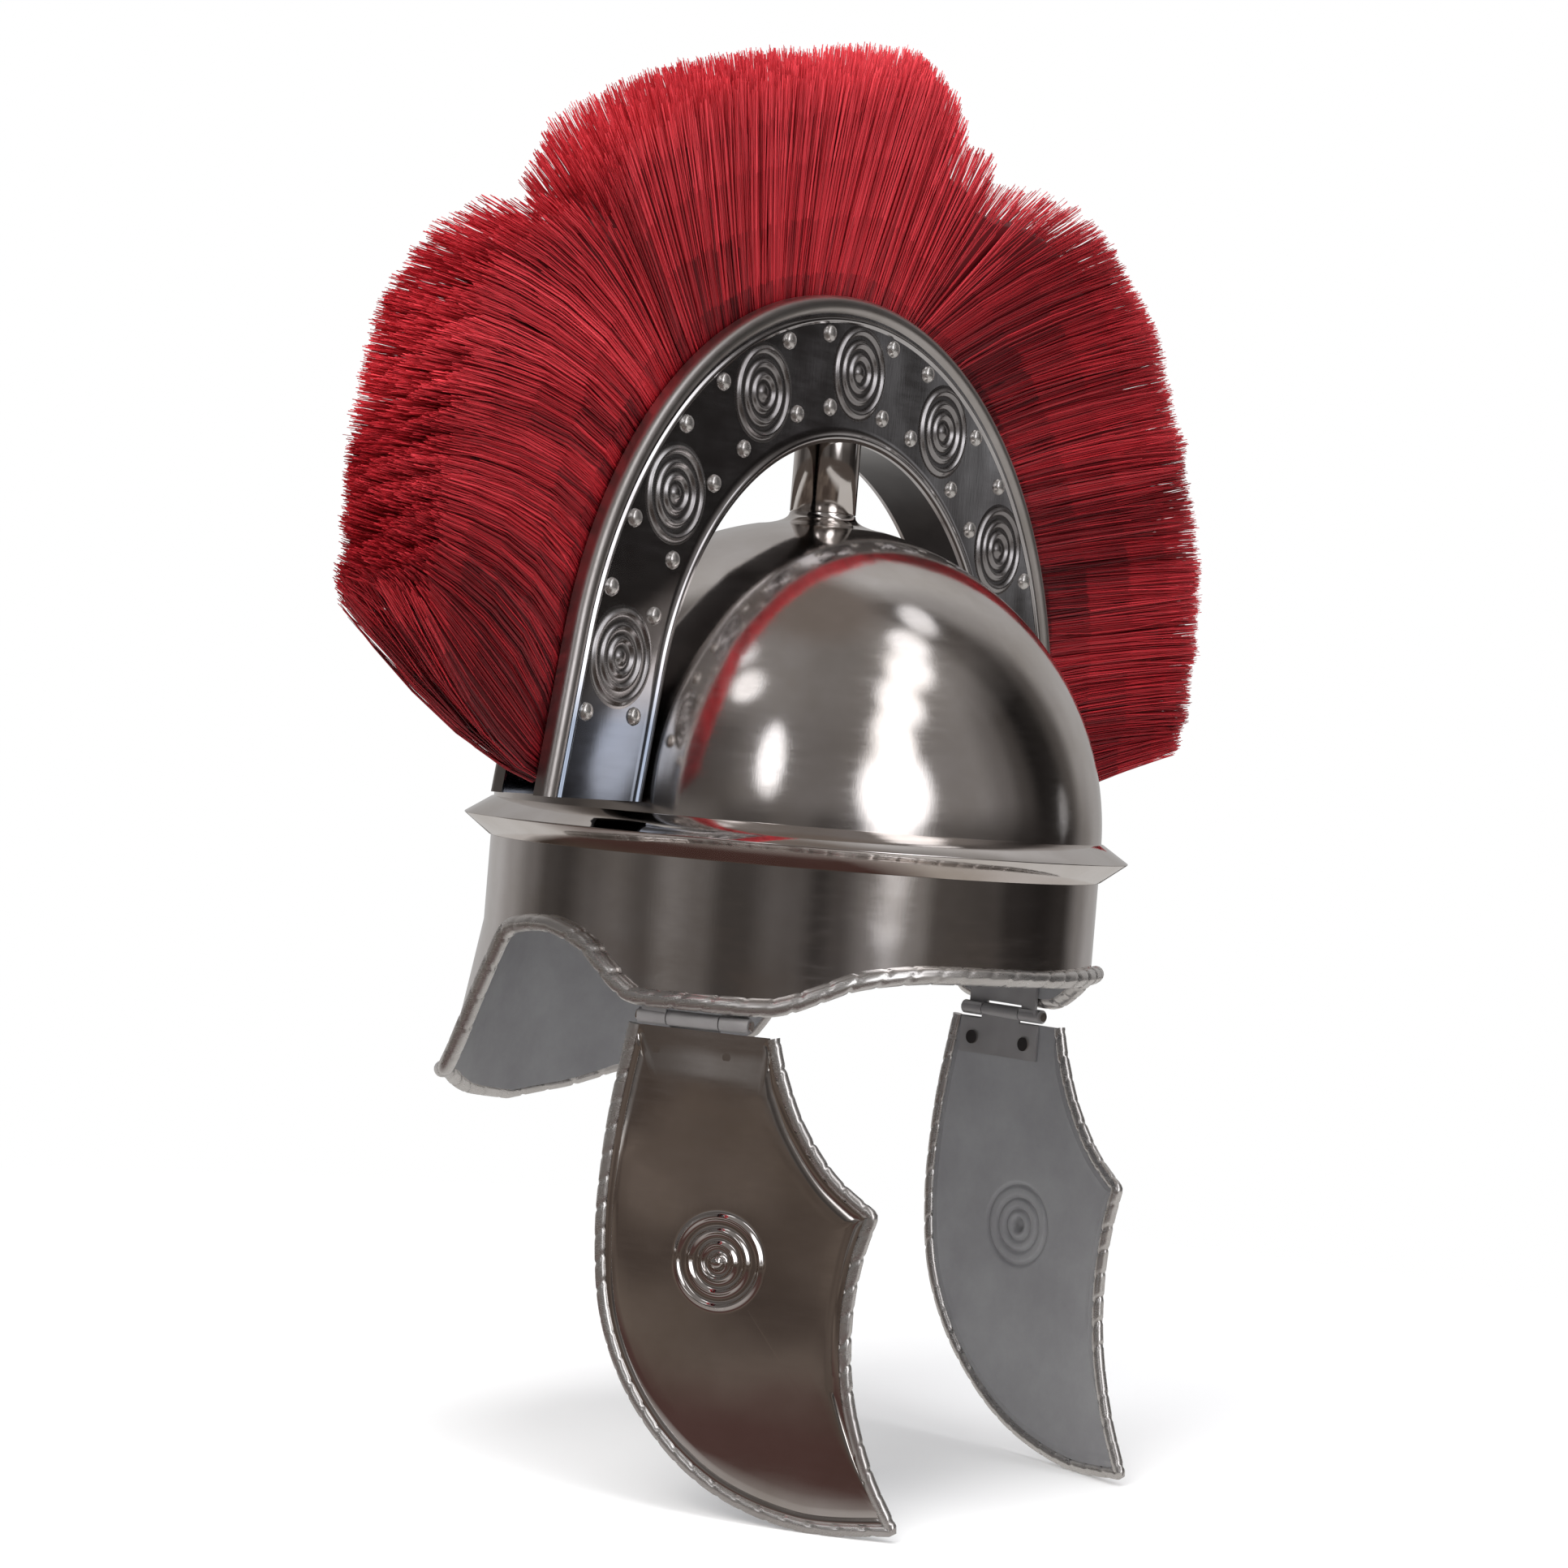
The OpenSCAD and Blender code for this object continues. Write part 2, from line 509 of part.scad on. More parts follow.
module hair_tuft(k) {
    nc = strand_columns;
    nr = strand_rows;
    span = 2 * foot_angle / tuft_count;
    function b_at(i) = -foot_angle + span * (k - 1 + i / nc);
    function y_at(j) = hair_root_w * (j / nr - 0.5);
    function cell(i, j, q, t) = [for (c = [[0, 0], [1, 0], [1, 1], [0, 1]])
        hair_point(b_at(i + 0.5 + (c[0] - 0.5) * q), y_at(j + 0.5 + (c[1] - 0.5) * q), t)];
    trim = rands(0.88, 1, nc * nr, k);
    roots = [for (i = [0 : nc], j = [0 : nr]) hair_point(b_at(i), y_at(j), 0)];
    strip = [for (i = [0 : nc], s = [0, nr]) let (b = b_at(i), r = arch_r(base_out_r + 0.1, b))
        [r * sin(b), y_at(s), crest_z + r * cos(b)]];
    strands = [for (i = [0 : nc - 1], j = [0 : nr - 1]) let (l = trim[i * nr + j]) each concat(
        cell(i, j, 0.8, 0.3 * l), cell(i, j, 0.55, 0.68 * l), [hair_point(b_at(i + 0.5), y_at(j + 0.5), l)])];
    function g(i, j) = i * (nr + 1) + j;
    function s(i, side) = (nc + 1) * (nr + 1) + 2 * i + side;
    function h(i, j, n) = (nc + 1) * (nr + 3) + (i * nr + j) * 9 + n;
    faces = concat(
        [for (i = [0 : nc - 1], j = [0 : nr - 1], k = [0 : 3]) let (
            n = (k + 1) % 4,
            root = [g(i, j), g(i + 1, j), g(i + 1, j + 1), g(i, j + 1)])
            each concat(
                quad(root[k], root[n], h(i, j, n), h(i, j, k)),
                quad(h(i, j, k), h(i, j, n), h(i, j, 4 + n), h(i, j, 4 + k)),
                [[h(i, j, 4 + k), h(i, j, 8), h(i, j, 4 + n)]])],
        [for (i = [0 : nc - 1]) each concat(
            quad(s(i, 0), s(i + 1, 0), g(i + 1, 0), g(i, 0)),
            quad(s(i + 1, 1), s(i, 1), g(i, nr), g(i + 1, nr)),
            quad(s(i, 0), s(i, 1), s(i + 1, 1), s(i + 1, 0)))],
        [for (j = [0 : nr - 1]) each [
            [s(0, 0), g(0, j + 1), g(0, j)], [s(nc, 0), g(nc, j), g(nc, j + 1)]]],
        [[s(0, 0), s(0, 1), g(0, nr)], [s(nc, 0), g(nc, nr), s(nc, 1)]]);
    color(hair) polyhedron(concat(roots, strip, strands), faces, convexity = 10);
}

module right() mirror([1, 0, 0]) children();

dome();
ridge();
brow_band();
band_edge_roll();
neck_guard();
neck_edge_roll();
crest_spigot();
right() band_leaf();  // right_band_leaf
band_leaf();  // left_band_leaf
right() hinge_pin();  // right_hinge_pin
hinge_pin();  // left_hinge_pin
band_rivets();
right() cheek_guard();  // right_cheek_guard
right() cheek_roll();  // right_cheek_roll
right() cheek_leaf();  // right_cheek_leaf
right() cheek_rivets();  // right_cheek_rivets
cheek_guard();  // left_cheek_guard
cheek_roll();  // left_cheek_roll
cheek_leaf();  // left_cheek_leaf
cheek_rivets();  // left_cheek_rivets
crest_front();
crest_back();
crest_soffit();
crest_tube();
plume_base();
for (k = [1 : tuft_count]) hair_tuft(k);
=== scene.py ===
# %% [markdown]
# A plumed helmet of polished steel
#
# This lesson dresses a helmet whose construction is already packed as a frame. The sheets, the rolled
# edges and the hair are modelled again as smooth meshes, because a mirror shows every facet. The hinges,
# pins and rivets stay as the frame has them and only get a finish.

# %% The frame
import math

import bpy
import numpy as np
from mathutils import Matrix, Vector


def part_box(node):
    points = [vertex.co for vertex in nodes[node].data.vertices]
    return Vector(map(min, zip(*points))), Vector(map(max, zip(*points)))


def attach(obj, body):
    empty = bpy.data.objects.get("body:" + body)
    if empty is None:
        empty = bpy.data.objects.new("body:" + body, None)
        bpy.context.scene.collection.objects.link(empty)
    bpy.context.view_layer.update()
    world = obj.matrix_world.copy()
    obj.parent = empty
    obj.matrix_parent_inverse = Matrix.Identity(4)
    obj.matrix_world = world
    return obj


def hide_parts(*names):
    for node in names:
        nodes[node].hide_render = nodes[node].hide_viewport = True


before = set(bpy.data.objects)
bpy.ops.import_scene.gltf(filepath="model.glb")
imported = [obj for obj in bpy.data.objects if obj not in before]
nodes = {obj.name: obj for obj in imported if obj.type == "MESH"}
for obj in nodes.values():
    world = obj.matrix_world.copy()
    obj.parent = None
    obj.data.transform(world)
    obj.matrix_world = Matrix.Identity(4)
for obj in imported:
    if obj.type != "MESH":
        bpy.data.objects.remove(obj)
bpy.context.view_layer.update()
scene = bpy.context.scene
MM = 0.001
print("nodes in the frame:", len(nodes))

# %% [markdown]
# Sizes
#
# A few sizes drive the helmet: the round of the head, the ridge, the drop of the lower edge and the arch
# of the crest. They could be measured off the frame's meshes, but written out they are easier to read
# and change. They are those of the construction, in millimetres. Angles round the head count from the
# front, and angles on the crest from its top.

# %% Sizes of the bowl
band_r = 110.0
sheet = 1.2
head_in = band_r - sheet
dome_z = 4.5
ridge_up, ridge_down, ridge_reach = 6.5, 7.5, 10.0
seam_drop = 38.0
neck_start = 117.0
neck_flare = math.radians(9)
roll_r = 3.0
lower_edge = [(0, 40.5), (26, 40), (36, 41.2), (44, 44.1), (50, 48.9), (56, 53.6), (61, 55), (72, 55),
              (82, 55), (86, 51.9), (90, 45.8), (94, 39.6), (99, 36.1), (104, 34.5), (111, 35.6), (117, 39),
              (120.5, 49.7), (124.6, 64.9), (128, 77.3), (131.5, 86.3), (135.9, 91.8), (145, 93.9),
              (154.2, 96.3), (159.8, 99.8), (167.1, 103.6), (180, 107)]
print("band", 2 * band_r, "mm across, lower edge through", len(lower_edge), "points on each side")

# %% Sizes of the cheek guards, in the hinge's frame where x runs forward
hinge_angle, hinge_r, hinge_z = math.radians(72), 107.1, -61.3
hinge_turn = math.radians(13)
cheek_bend = 350.0
boss = np.array([16.0, -79.0])
cheek_roll_r = 2.2
rear_edge = [(-22, -3.2), (-27.5, -38.4), (-28.7, -73.6), (-23, -105.6), (-6.6, -132.8), (18.9, -152.8),
             (50.8, -161.9), (82, -160)]
lower_front = [(82, -160), (71.8, -141.6), (64, -118.4), (61.5, -94.4), (63.3, -73.6), (67.2, -58.1)]
upper_front = [(67.2, -58.1), (52.5, -47.2), (40.2, -31.2), (32.4, -14.4), (29, -3.2)]
print("cheek guards reach", -rear_edge[-1][1], "mm below the hinge, bent to a radius of", cheek_bend)

# %% Sizes of the crest
crest_z = 37.0
crest_in_r, crest_height, crest_half = 106.0, 52.0, 11.0
crest_out_r = crest_in_r + crest_height
foot_z, crest_gap = 10.0, 1.6
leg_angle = math.acos((band_r + crest_gap - crest_in_r) / (crest_z - dome_z))
slot_half = 6.5
tube_r, neck_z = 12.0, dome_z + band_r + 2.5
motif_count, motif_step, motif_r = 7, math.radians(27), 16.5
panel_mid = crest_in_r + crest_height * 0.49
bead_angle, bead_reach, bead_r = math.radians(8.4), motif_r * 0.79, 3.2
print("crest to", crest_out_r, "mm out, with legs from", round(math.degrees(leg_angle), 1), "degrees down")

# %% [markdown]
# The lay of the plume
#
# The real hair parts into three lobes: a fan on top, and on each side a lobe that leaves the crest nearly
# level and falls outward. Hair that only leans with its root would give a plain fan, so a table holds the
# lay. Each row gives the angle of a root, the angle and the reach of its tip, the angle at which the hair
# leaves the crest, and how far along that way its bend lies.

# %% Sizes of the plume
root_r = crest_in_r + crest_height * 0.79
hair_root_w, hair_tip_w, hair_len = 8.4, 40.0, 120.0
hair_foot = 98.5
lean = np.array([
    (-98.5, -81.7, 0.84, -80, 0.35), (-94, -80.9, 0.9, -38, 0.42), (-87, -78.8, 0.94, -38, 0.38),
    (-80.5, -76.5, 0.96, -43, 0.37), (-74, -75, 0.99, -49, 0.36), (-68, -73.7, 1.01, -55, 0.35),
    (-62, -71, 1.02, -57, 0.37), (-56, -67.8, 1.05, -57, 0.38), (-48.6, -62.9, 1.08, -56, 0.45),
    (-44, -56.6, 1.02, -52, 0.53), (-41.5, -50.8, 0.9, -49, 0.55),
    (-40, -45.7, 0.73, -47.5, 0.39), (-39, -45.2, 0.86, -48, 0.43), (-35, -40.1, 0.92, -44, 0.45),
    (-29.7, -31.1, 0.87, -32, 0.42), (-20, -20.9, 0.83, -20, 0.4), (-10, -7.9, 0.82, -4, 0.4),
    (0, 5, 0.91, 12, 0.45), (5, 7.7, 0.92, 16, 0.43), (9, 11.9, 0.85, 18, 0.42),
    (11, 14.2, 0.74, 22, 0.38), (12.2, 18.5, 0.79, 31, 0.42), (13.2, 19.7, 0.69, 36, 0.35),
    (14.2, 27.5, 0.84, 44, 0.43), (15.4, 34.2, 0.99, 49, 0.47), (17, 39, 1.07, 52, 0.48),
    (20.5, 43.7, 1.11, 54, 0.48), (27, 48.5, 1.16, 58, 0.47), (34.4, 53.6, 1.18, 63, 0.46),
    (44, 59.6, 1.19, 70, 0.46), (54, 66.5, 1.2, 76, 0.46), (63, 72.3, 1.22, 80, 0.46),
    (72, 76.2, 1.19, 80, 0.46), (76.4, 79.1, 1.18, 79, 0.43), (83.5, 81.6, 1.13, 73, 0.42),
    (91, 86.2, 1.08, 70, 0.38), (98.5, 88.3, 0.96, 72, 0.35)])
print("hair runs from", -hair_foot, "to", hair_foot, "degrees")

# %% [markdown]
# Curves and skins
#
# Bent sheet has even curves. Blender's own curves and modifiers could give them, but a grid of points
# also tells which part of the sheet a face lies on. So an outline becomes a smooth curve through its
# points, and a skin is a grid that closes along one way or both, which suits swept sheets, turned pieces
# and rolled edges alike.

# %% Curves
def smooth(points, steps):
    """A curve through the points, with that many steps from each point to the next."""
    p = np.array(points, float)
    made = []
    for i in range(len(p) - 1):
        a, b, c, d = p[max(i - 1, 0)], p[i], p[i + 1], p[min(i + 2, len(p) - 1)]
        for t in np.arange(steps) / steps:
            made.append(0.5 * (2 * b + (c - a) * t + (2 * a - 5 * b + 4 * c - d) * t ** 2
                               + (3 * b - a - 3 * c + d) * t ** 3))
    return np.array(made + [p[-1]])


def even(path, gap):
    """The same path with its points about that gap apart, and how far along each one lies."""
    run = np.concatenate([[0], np.cumsum(np.linalg.norm(np.diff(path, axis=0), axis=1))])
    along = np.linspace(0, run[-1], max(2, int(round(run[-1] / gap)) + 1))
    return np.stack([np.interp(along, run, path[:, k]) for k in range(path.shape[1])], 1), along


def unit(v):
    return v / np.linalg.norm(v, axis=-1, keepdims=True)


print("points of a curve through 3:", len(smooth([(0, 0), (1, 1), (2, 0)], 4)))


# %% Meshes from grids
def skin(grid, closed_rows=False, closed_columns=False):
    """Points and faces of a grid of points. Rows and columns can each close on themselves."""
    rows, columns = grid.shape[:2]
    r = np.arange(rows if closed_rows else rows - 1)
    c = np.arange(columns if closed_columns else columns - 1)
    r, c = np.meshgrid(r, c, indexing="ij")
    r1, c1 = (r + 1) % rows, (c + 1) % columns
    faces = np.stack([r * columns + c, r * columns + c1, r1 * columns + c1, r1 * columns + c], -1)
    return grid.reshape(-1, 3), faces.reshape(-1, 4)


def end_caps(count, around):
    """The two faces that close the ends of a tube-like skin, for its points and those around it."""
    return [list(range(around))[::-1], list(range(count - around, count))]


def joined(*parts):
    """Several (points, faces, finish number or one for each face) as one."""
    points, faces, finishes, start = [], [], [], 0
    for p, f, finish in parts:
        points.append(p)
        faces += [[int(i) + start for i in face] for face in f]
        finishes += finish if isinstance(finish, list) else [finish] * len(f)
        start += len(p)
    return np.concatenate(points), faces, finishes


def piece(name, body, finishes, points, faces, numbers=None, sharp=50, replaces=()):
    """A mesh object from points in millimetres, which rides on a body and stands for some nodes."""
    mesh = bpy.data.meshes.new(name)
    mesh.from_pydata((np.asarray(points) * MM).tolist(), [], [list(map(int, f)) for f in faces])
    for finish in finishes:
        mesh.materials.append(finish)
    if numbers is not None:
        mesh.polygons.foreach_set("material_index", np.array(numbers, np.int32))
    mesh.polygons.foreach_set("use_smooth", np.ones(len(mesh.polygons), bool))
    mesh.validate()
    mesh.update()
    mesh.set_sharp_from_angle(angle=math.radians(sharp))
    made = bpy.data.objects.new(name, mesh)
    scene.collection.objects.link(made)
    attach(made, body)
    if replaces:
        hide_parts(*replaces)
    return made


def turned(profile, steps=192):
    """A profile of (radius, height) turned about Z, as a grid."""
    a = np.linspace(0, 2 * np.pi, steps, endpoint=False)[:, None]
    r, z = np.array(profile, float).T
    return np.stack([r * np.cos(a), r * np.sin(a), np.broadcast_to(z, (steps, len(z)))], -1)


def arc(centre, radius, start, end, steps):
    """Points of an arc in a profile, with its angles in degrees."""
    a = np.radians(np.linspace(start, end, steps))
    return [(centre[0] + radius * math.cos(t), centre[1] + radius * math.sin(t)) for t in a]


print("faces of a wall turned in 12 steps:", len(skin(turned([(1, 0), (1, 1)], 12), True)[1]))

# %% [markdown]
# Shader maths
#
# Patterns on metal are sums and products of simple ones. They could be wired by hand, but as expressions
# they read like the thought behind them. Each output socket is wrapped in a small class, so that a sum or
# a product adds its node. Colours are mixed, because a Math node would turn them grey.

# %% A socket that Python's operators work on
class Wire:
    def __init__(self, tree, socket=None):
        self.tree, self.socket = tree, socket

    def node(self, kind, sockets=None, out=0, stops=None, **settings):
        """Any node: its settings first, then values or links for its sockets, and one of its outputs."""
        made = self.tree.nodes.new(kind)
        for name, value in settings.items():
            setattr(made, name, value)
        if stops:
            bar = made.color_ramp.elements
            while len(bar) < len(stops):
                bar.new(0.5)
            for element, (place, colour) in zip(bar, stops):
                element.position, element.color = place, colour
        for name, value in (sockets or {}).items():
            if isinstance(value, Wire):
                self.tree.links.new(value.socket, made.inputs[name])
            else:
                made.inputs[name].default_value = value
        return Wire(self.tree, made.outputs[out])

    def maths(self, operation, a, b=0.0):
        vector = any(isinstance(v, Wire) and v.socket.type == "VECTOR" for v in (a, b))
        kind = "ShaderNodeVectorMath" if vector else "ShaderNodeMath"
        return self.node(kind, {0: a, 1: b}, operation=operation)

    def __add__(self, other):
        return self.maths("ADD", self, other)

    def __radd__(self, other):
        return self.maths("ADD", other, self)

    def __sub__(self, other):
        return self.maths("SUBTRACT", self, other)

    def __rsub__(self, other):
        return self.maths("SUBTRACT", other, self)

    def __mul__(self, other):
        return self.maths("MULTIPLY", self, other)

    def __rmul__(self, other):
        return self.maths("MULTIPLY", other, self)

    def between(self, low, high, **settings):
        """This value, from low to high, as 0 to 1."""
        return self.node("ShaderNodeMapRange", {"Value": self, "From Min": low, "From Max": high}, **settings)

    def mix(self, first, second):
        """The first colour where this value is 0 and the second where it is 1."""
        return self.node("ShaderNodeMix", {0: self, 6: first, 7: second}, out=2, data_type="RGBA")

    def noise(self, scale, detail=3.0, roughness=0.5, stretch=(1, 1, 1)):
        """Noise at this vector, with a scale in patches per metre."""
        at = self.node("ShaderNodeMapping", {"Vector": self, "Scale": stretch})
        return self.node("ShaderNodeTexNoise", {"Vector": at, "Scale": scale, "Detail": detail,
                                                "Roughness": roughness})

    def part(self, axis):
        """The X, Y or Z of this vector."""
        return self.node("ShaderNodeSeparateXYZ", {"Vector": self}, axis)

    def bump(self, strength, depth):
        """A surface that rises and sinks with this height, by a depth in metres."""
        return self.node("ShaderNodeBump", {"Height": self, "Strength": strength, "Distance": depth})


def rgb(r, g, b):
    """A colour as it looks on a screen, as the linear values that a shader wants."""
    return tuple(c / 12.92 if c <= 0.04045 else ((c + 0.055) / 1.055) ** 2.4 for c in (r, g, b)) + (1.0,)


def finish(name, surface):
    """A material whose tree is filled by surface(start, shader)."""
    made = bpy.data.materials.new(name)
    made.use_nodes = True
    tree = made.node_tree
    surface(Wire(tree), tree.nodes["Principled BSDF"])
    return made


def feed(shader, **sockets):
    """Links or values for the shader's own sockets, with underscores for spaces."""
    for name, value in sockets.items():
        socket = shader.inputs[name.replace("_", " ")]
        if isinstance(value, Wire):
            value.tree.links.new(value.socket, socket)
        else:
            socket.default_value = value


print("mid grey on a screen is", round(rgb(0.5, 0.5, 0.5)[0], 3), "to a shader")

# %% [markdown]
# Polished steel
#
# The sheets are polished by hand over hammered work. An even low roughness would look like chrome. So a
# weak and broad bump lets the mirror wander, and faint clouds and fine polishing lines break the shine.
# One recipe serves all sheets, duller for the rolled edges, the lip and the rings, darkened as painted shade
# for the strip under the crest, and with a painted blue grey reflection low on the crest's legs. The inner
# faces stay grey and satin.

# %% The steels
# The blue grey of a painted reflection, mixed into the crest's legs near their feet.
painted_reflection_grey = rgb(0.47, 0.50, 0.55)


def polished(tone, cloud, shine, wander, metal=1.0, painted_reflection=None):
    """Steel of that colour with darker clouds, a least roughness, a bump in metres and a painted reflection.
    """
    def surface(start, shader):
        at = start.node("ShaderNodeTexCoord", out="Object")
        clouds = at.noise(22, 4, 0.6).between(0.35, 0.75)
        hammered = at.noise(26, 1.5, 0.4)
        rubbed = at.noise(60, 5, 0.7, (1, 1, 6)).between(0.4, 0.7)
        fine = at.noise(900, 2, 0.6, (1, 1, 0.15))
        colour = clouds.mix(rgb(*tone), rgb(*cloud))
        # Painted reflection: a blue grey tint in the base colour, where its mask is 1.
        if painted_reflection:
            colour = painted_reflection(at).mix(colour, painted_reflection_grey)
        feed(shader, Base_Color=colour, Metallic=metal, Roughness=shine + rubbed * 0.05 + clouds * 0.04,
             Normal=(hammered + fine * 0.012).bump(1.0, wander))
    return surface


def dull(start, shader):
    """The grey inner face of the sheet, as it came from the mill."""
    at = start.node("ShaderNodeTexCoord", out="Object")
    stains = at.noise(35, 5, 0.65).between(0.3, 0.75)
    grain = at.noise(1500, 2, 0.7)
    feed(shader, Base_Color=stains.mix(rgb(0.595, 0.595, 0.60), rgb(0.525, 0.52, 0.53)), Metallic=0.25,
         Roughness=0.46 + stains * 0.12, Normal=grain.bump(0.25, 0.0002))


def painted_reflection_on_legs(at):
    """Where the crest's legs take the painted blue grey reflection, near their feet."""
    return 1.0 - at.part("Z").between(0.035, 0.060)


steel = finish("polished_steel", polished((0.93, 0.91, 0.90), (0.84, 0.81, 0.78), 0.05, 0.00045))
# The crest's plates take the painted blue grey reflection low on their legs.
panel_steel = finish("crest_steel", polished((0.82, 0.81, 0.81), (0.68, 0.66, 0.66), 0.09, 0.0005,
                                             painted_reflection=painted_reflection_on_legs))
rolled_steel = finish("rolled_edge_steel", polished((0.88, 0.87, 0.86), (0.78, 0.76, 0.745), 0.24, 0.00012,
                                                    metal=0.94))
lip_steel = finish("crest_lip_steel", polished((0.78, 0.76, 0.75), (0.68, 0.66, 0.64), 0.34, 0.0001))
# The strip under the crest is painted near black, as shade.
strip_painted_shade_steel = finish("crest_strip_painted_shade_steel", polished((0.30, 0.29, 0.29), (0.20, 0.19, 0.19), 0.16, 0.0003))
ring_steel = finish("crest_ring_steel", polished((0.70, 0.69, 0.69), (0.56, 0.54, 0.54), 0.24, 0.0003))
dome_steel = finish("dome_steel", polished((0.93, 0.91, 0.90), (0.84, 0.81, 0.78), 0.085, 0.00045))
grey_steel = finish("grey_inner_steel", dull)
print("materials so far:", len(bpy.data.materials))


# %% [markdown]
# Hinges, rivets and the block
#
# These small pieces could be modelled again, but the frame's meshes are fine enough. The leaves are worn
# satin steel. A rivet is polished flush outside, with painted shade on its head inside. One mesh shows both,
# so its finish asks whether a face looks away from the middle of the bowl. The hair's block is stained wood.

# %% Finishes of the frame's own pieces
def hinge_surface(start, shader):
    at = start.node("ShaderNodeTexCoord", out="Object")
    worn = at.noise(60, 2, 0.5).between(0.3, 0.7)
    grain = at.noise(1500, 2, 0.7)
    feed(shader, Base_Color=worn.mix(rgb(0.63, 0.62, 0.62), rgb(0.57, 0.56, 0.56)), Metallic=0.5,
         Roughness=0.40 + worn * 0.06, Normal=grain.bump(0.2, 0.0001))


def block_surface(start, shader):
    at = start.node("ShaderNodeTexCoord", out="Object")
    grain = at.noise(140, 4, 0.6, (0.2, 1, 1))
    feed(shader, Base_Color=grain.between(0.3, 0.7).mix(rgb(0.20, 0.09, 0.07), rgb(0.12, 0.05, 0.04)),
         Roughness=0.7 + grain * 0.1, Normal=grain.bump(0.4, 0.0004))


def rivet_surface(start, shader):
    """Polished where the rivet's end faces out of the helmet, and painted dark as shade on its head inside.
    """
    place = start.node("ShaderNodeTexCoord", out="Object")
    facing = start.node("ShaderNodeTexCoord", out="Normal")
    outward = place.node("ShaderNodeVectorMath", {0: place * (1.0, 1.0, 0.0), 1: facing}, out="Value",
                         operation="DOT_PRODUCT")
    # Painted shade: the rivet heads inside the helmet get a dark grey.
    inside = outward.between(0.02, -0.02)
    feed(shader, Base_Color=inside.mix(rgb(0.90, 0.88, 0.86), rgb(0.36, 0.35, 0.35)), Metallic=1.0,
         Roughness=inside * 0.35 + 0.06)


hinge_steel = finish("hinge_steel", hinge_surface)
rivet_steel = finish("rivet_steel", rivet_surface)
block_wood = finish("stained_block", block_surface)
kept_pieces = [
    (hinge_steel, ("right_band_leaf", "left_band_leaf", "right_cheek_leaf", "left_cheek_leaf")),
    (rivet_steel, ("band_rivets", "right_cheek_rivets", "left_cheek_rivets")),
    (steel, ("right_hinge_pin", "left_hinge_pin", "crest_spigot")),
    (block_wood, ("plume_base",))]
for material, names in kept_pieces:
    for name in names:
        nodes[name].data.materials.clear()
        nodes[name].data.materials.append(material)
print("pieces kept from the frame:", sum(len(names) for _, names in kept_pieces))

# %% [markdown]
# The bowl
#
# The real dome is hammered to half a ball, and a neck for the crest's tube rises from its top. The ridge
# is a sheet bent to a sharp edge. A ball could be cut and joined to a neck, but a profile that is turned
# about the upright gives both in one clean skin, with the inner face a sheet's depth behind.

# %% Dome
dome_top = dome_z + band_r
flare_r = tube_r * 2
flare_z = dome_z + math.sqrt(band_r ** 2 - flare_r ** 2) - 0.05


def blend(t):
    """A point on the neck's curve, from the tube's edge down to the dome."""
    a, b, c = np.array([tube_r, neck_z]), np.array([tube_r, dome_top - 1]), np.array([flare_r, flare_z])
    return tuple((1 - t) ** 2 * a + 2 * t * (1 - t) * b + t ** 2 * c)


foot_turn = math.degrees(math.asin((ridge_up - dome_z) / band_r))
flare_turn = math.degrees(math.acos(flare_r / band_r))
outside = arc((0, dome_z), band_r, foot_turn, flare_turn, 60) + [blend(t) for t in np.linspace(0.95, 0, 14)]
inside = [(8.4, neck_z), (8.4, dome_z + head_in - 0.3)] + arc((0, dome_z), head_in, 85.5, foot_turn, 48)
n_out = len(outside)
points, faces = skin(turned(outside + inside, 256), True, True)
number = [0 if (f[0] % (n_out + len(inside))) < n_out else 1 for f in faces]
piece("bowl_dome", "helmet", [dome_steel, grey_steel], points, faces, number, 35, ["dome"])
print("dome turned, with its top at", dome_top, "mm")

# %% Ridge
edge_round = arc((band_r + ridge_reach - 0.35, 0), 0.35, 55, -55, 5)
profile = ([(head_in, ridge_up), (band_r, ridge_up), (band_r + 0.8, ridge_up - 0.25)] + edge_round
           + [(band_r + 0.8, -ridge_down + 0.25), (band_r, -ridge_down), (head_in, -ridge_down),
              (band_r + ridge_reach - 2.5, 0)])
points, faces = skin(turned(profile, 256), True, True)
number = [1 if f[0] % len(profile) >= len(profile) - 2 else 0 for f in faces]
piece("bowl_ridge", "helmet", [steel, grey_steel], points, faces, number, 30, ["ridge"])
print("ridge turned, with its edge", band_r + ridge_reach, "mm out")

# %% [markdown]
# The band and the neck guard
#
# Both are one sheet deep, and their lower edge is a curve round the head that leaves room for the brow,
# the hinges and the ears. The real edge is rolled outward over a wire and nicked with a chisel to look
# like rope. A cut with another mesh would leave ragged faces on the mirror, so the wall is a grid whose
# last row follows the curve, and the roll is a bead along the same curve with its nicks pressed in.

# %% The curve of the lower edge
half = smooth(lower_edge, 24)
loop = np.concatenate([half[::-1] * [-1, 1], half[1:]])
print("lower edge in", len(loop), "points")


def around(angle, radius, height):
    """A point at an angle round the head, counted from the front."""
    return np.stack([radius * np.sin(angle), -radius * np.cos(angle), height + 0 * angle], -1)


def edge_path(points):
    """The middle of the rolled edge for (angle, drop) points, and the way out from the sheet."""
    angle, drop = np.radians(np.where(points[:, 0] > 180, points[:, 0] - 360, points[:, 0])), points[:, 1]
    flare = np.where(np.abs(angle) > math.radians(neck_start), np.maximum(0, drop - seam_drop), 0)
    tilt = neck_flare * np.minimum(1, flare / 4)
    path = around(angle, head_in + roll_r + flare * math.tan(neck_flare), -drop)
    return path, around(angle, np.cos(tilt), np.sin(tilt))


# %% Rolled edges with chisel nicks
nick_half, nick_depths = 0.75, (0.1, 0.26)


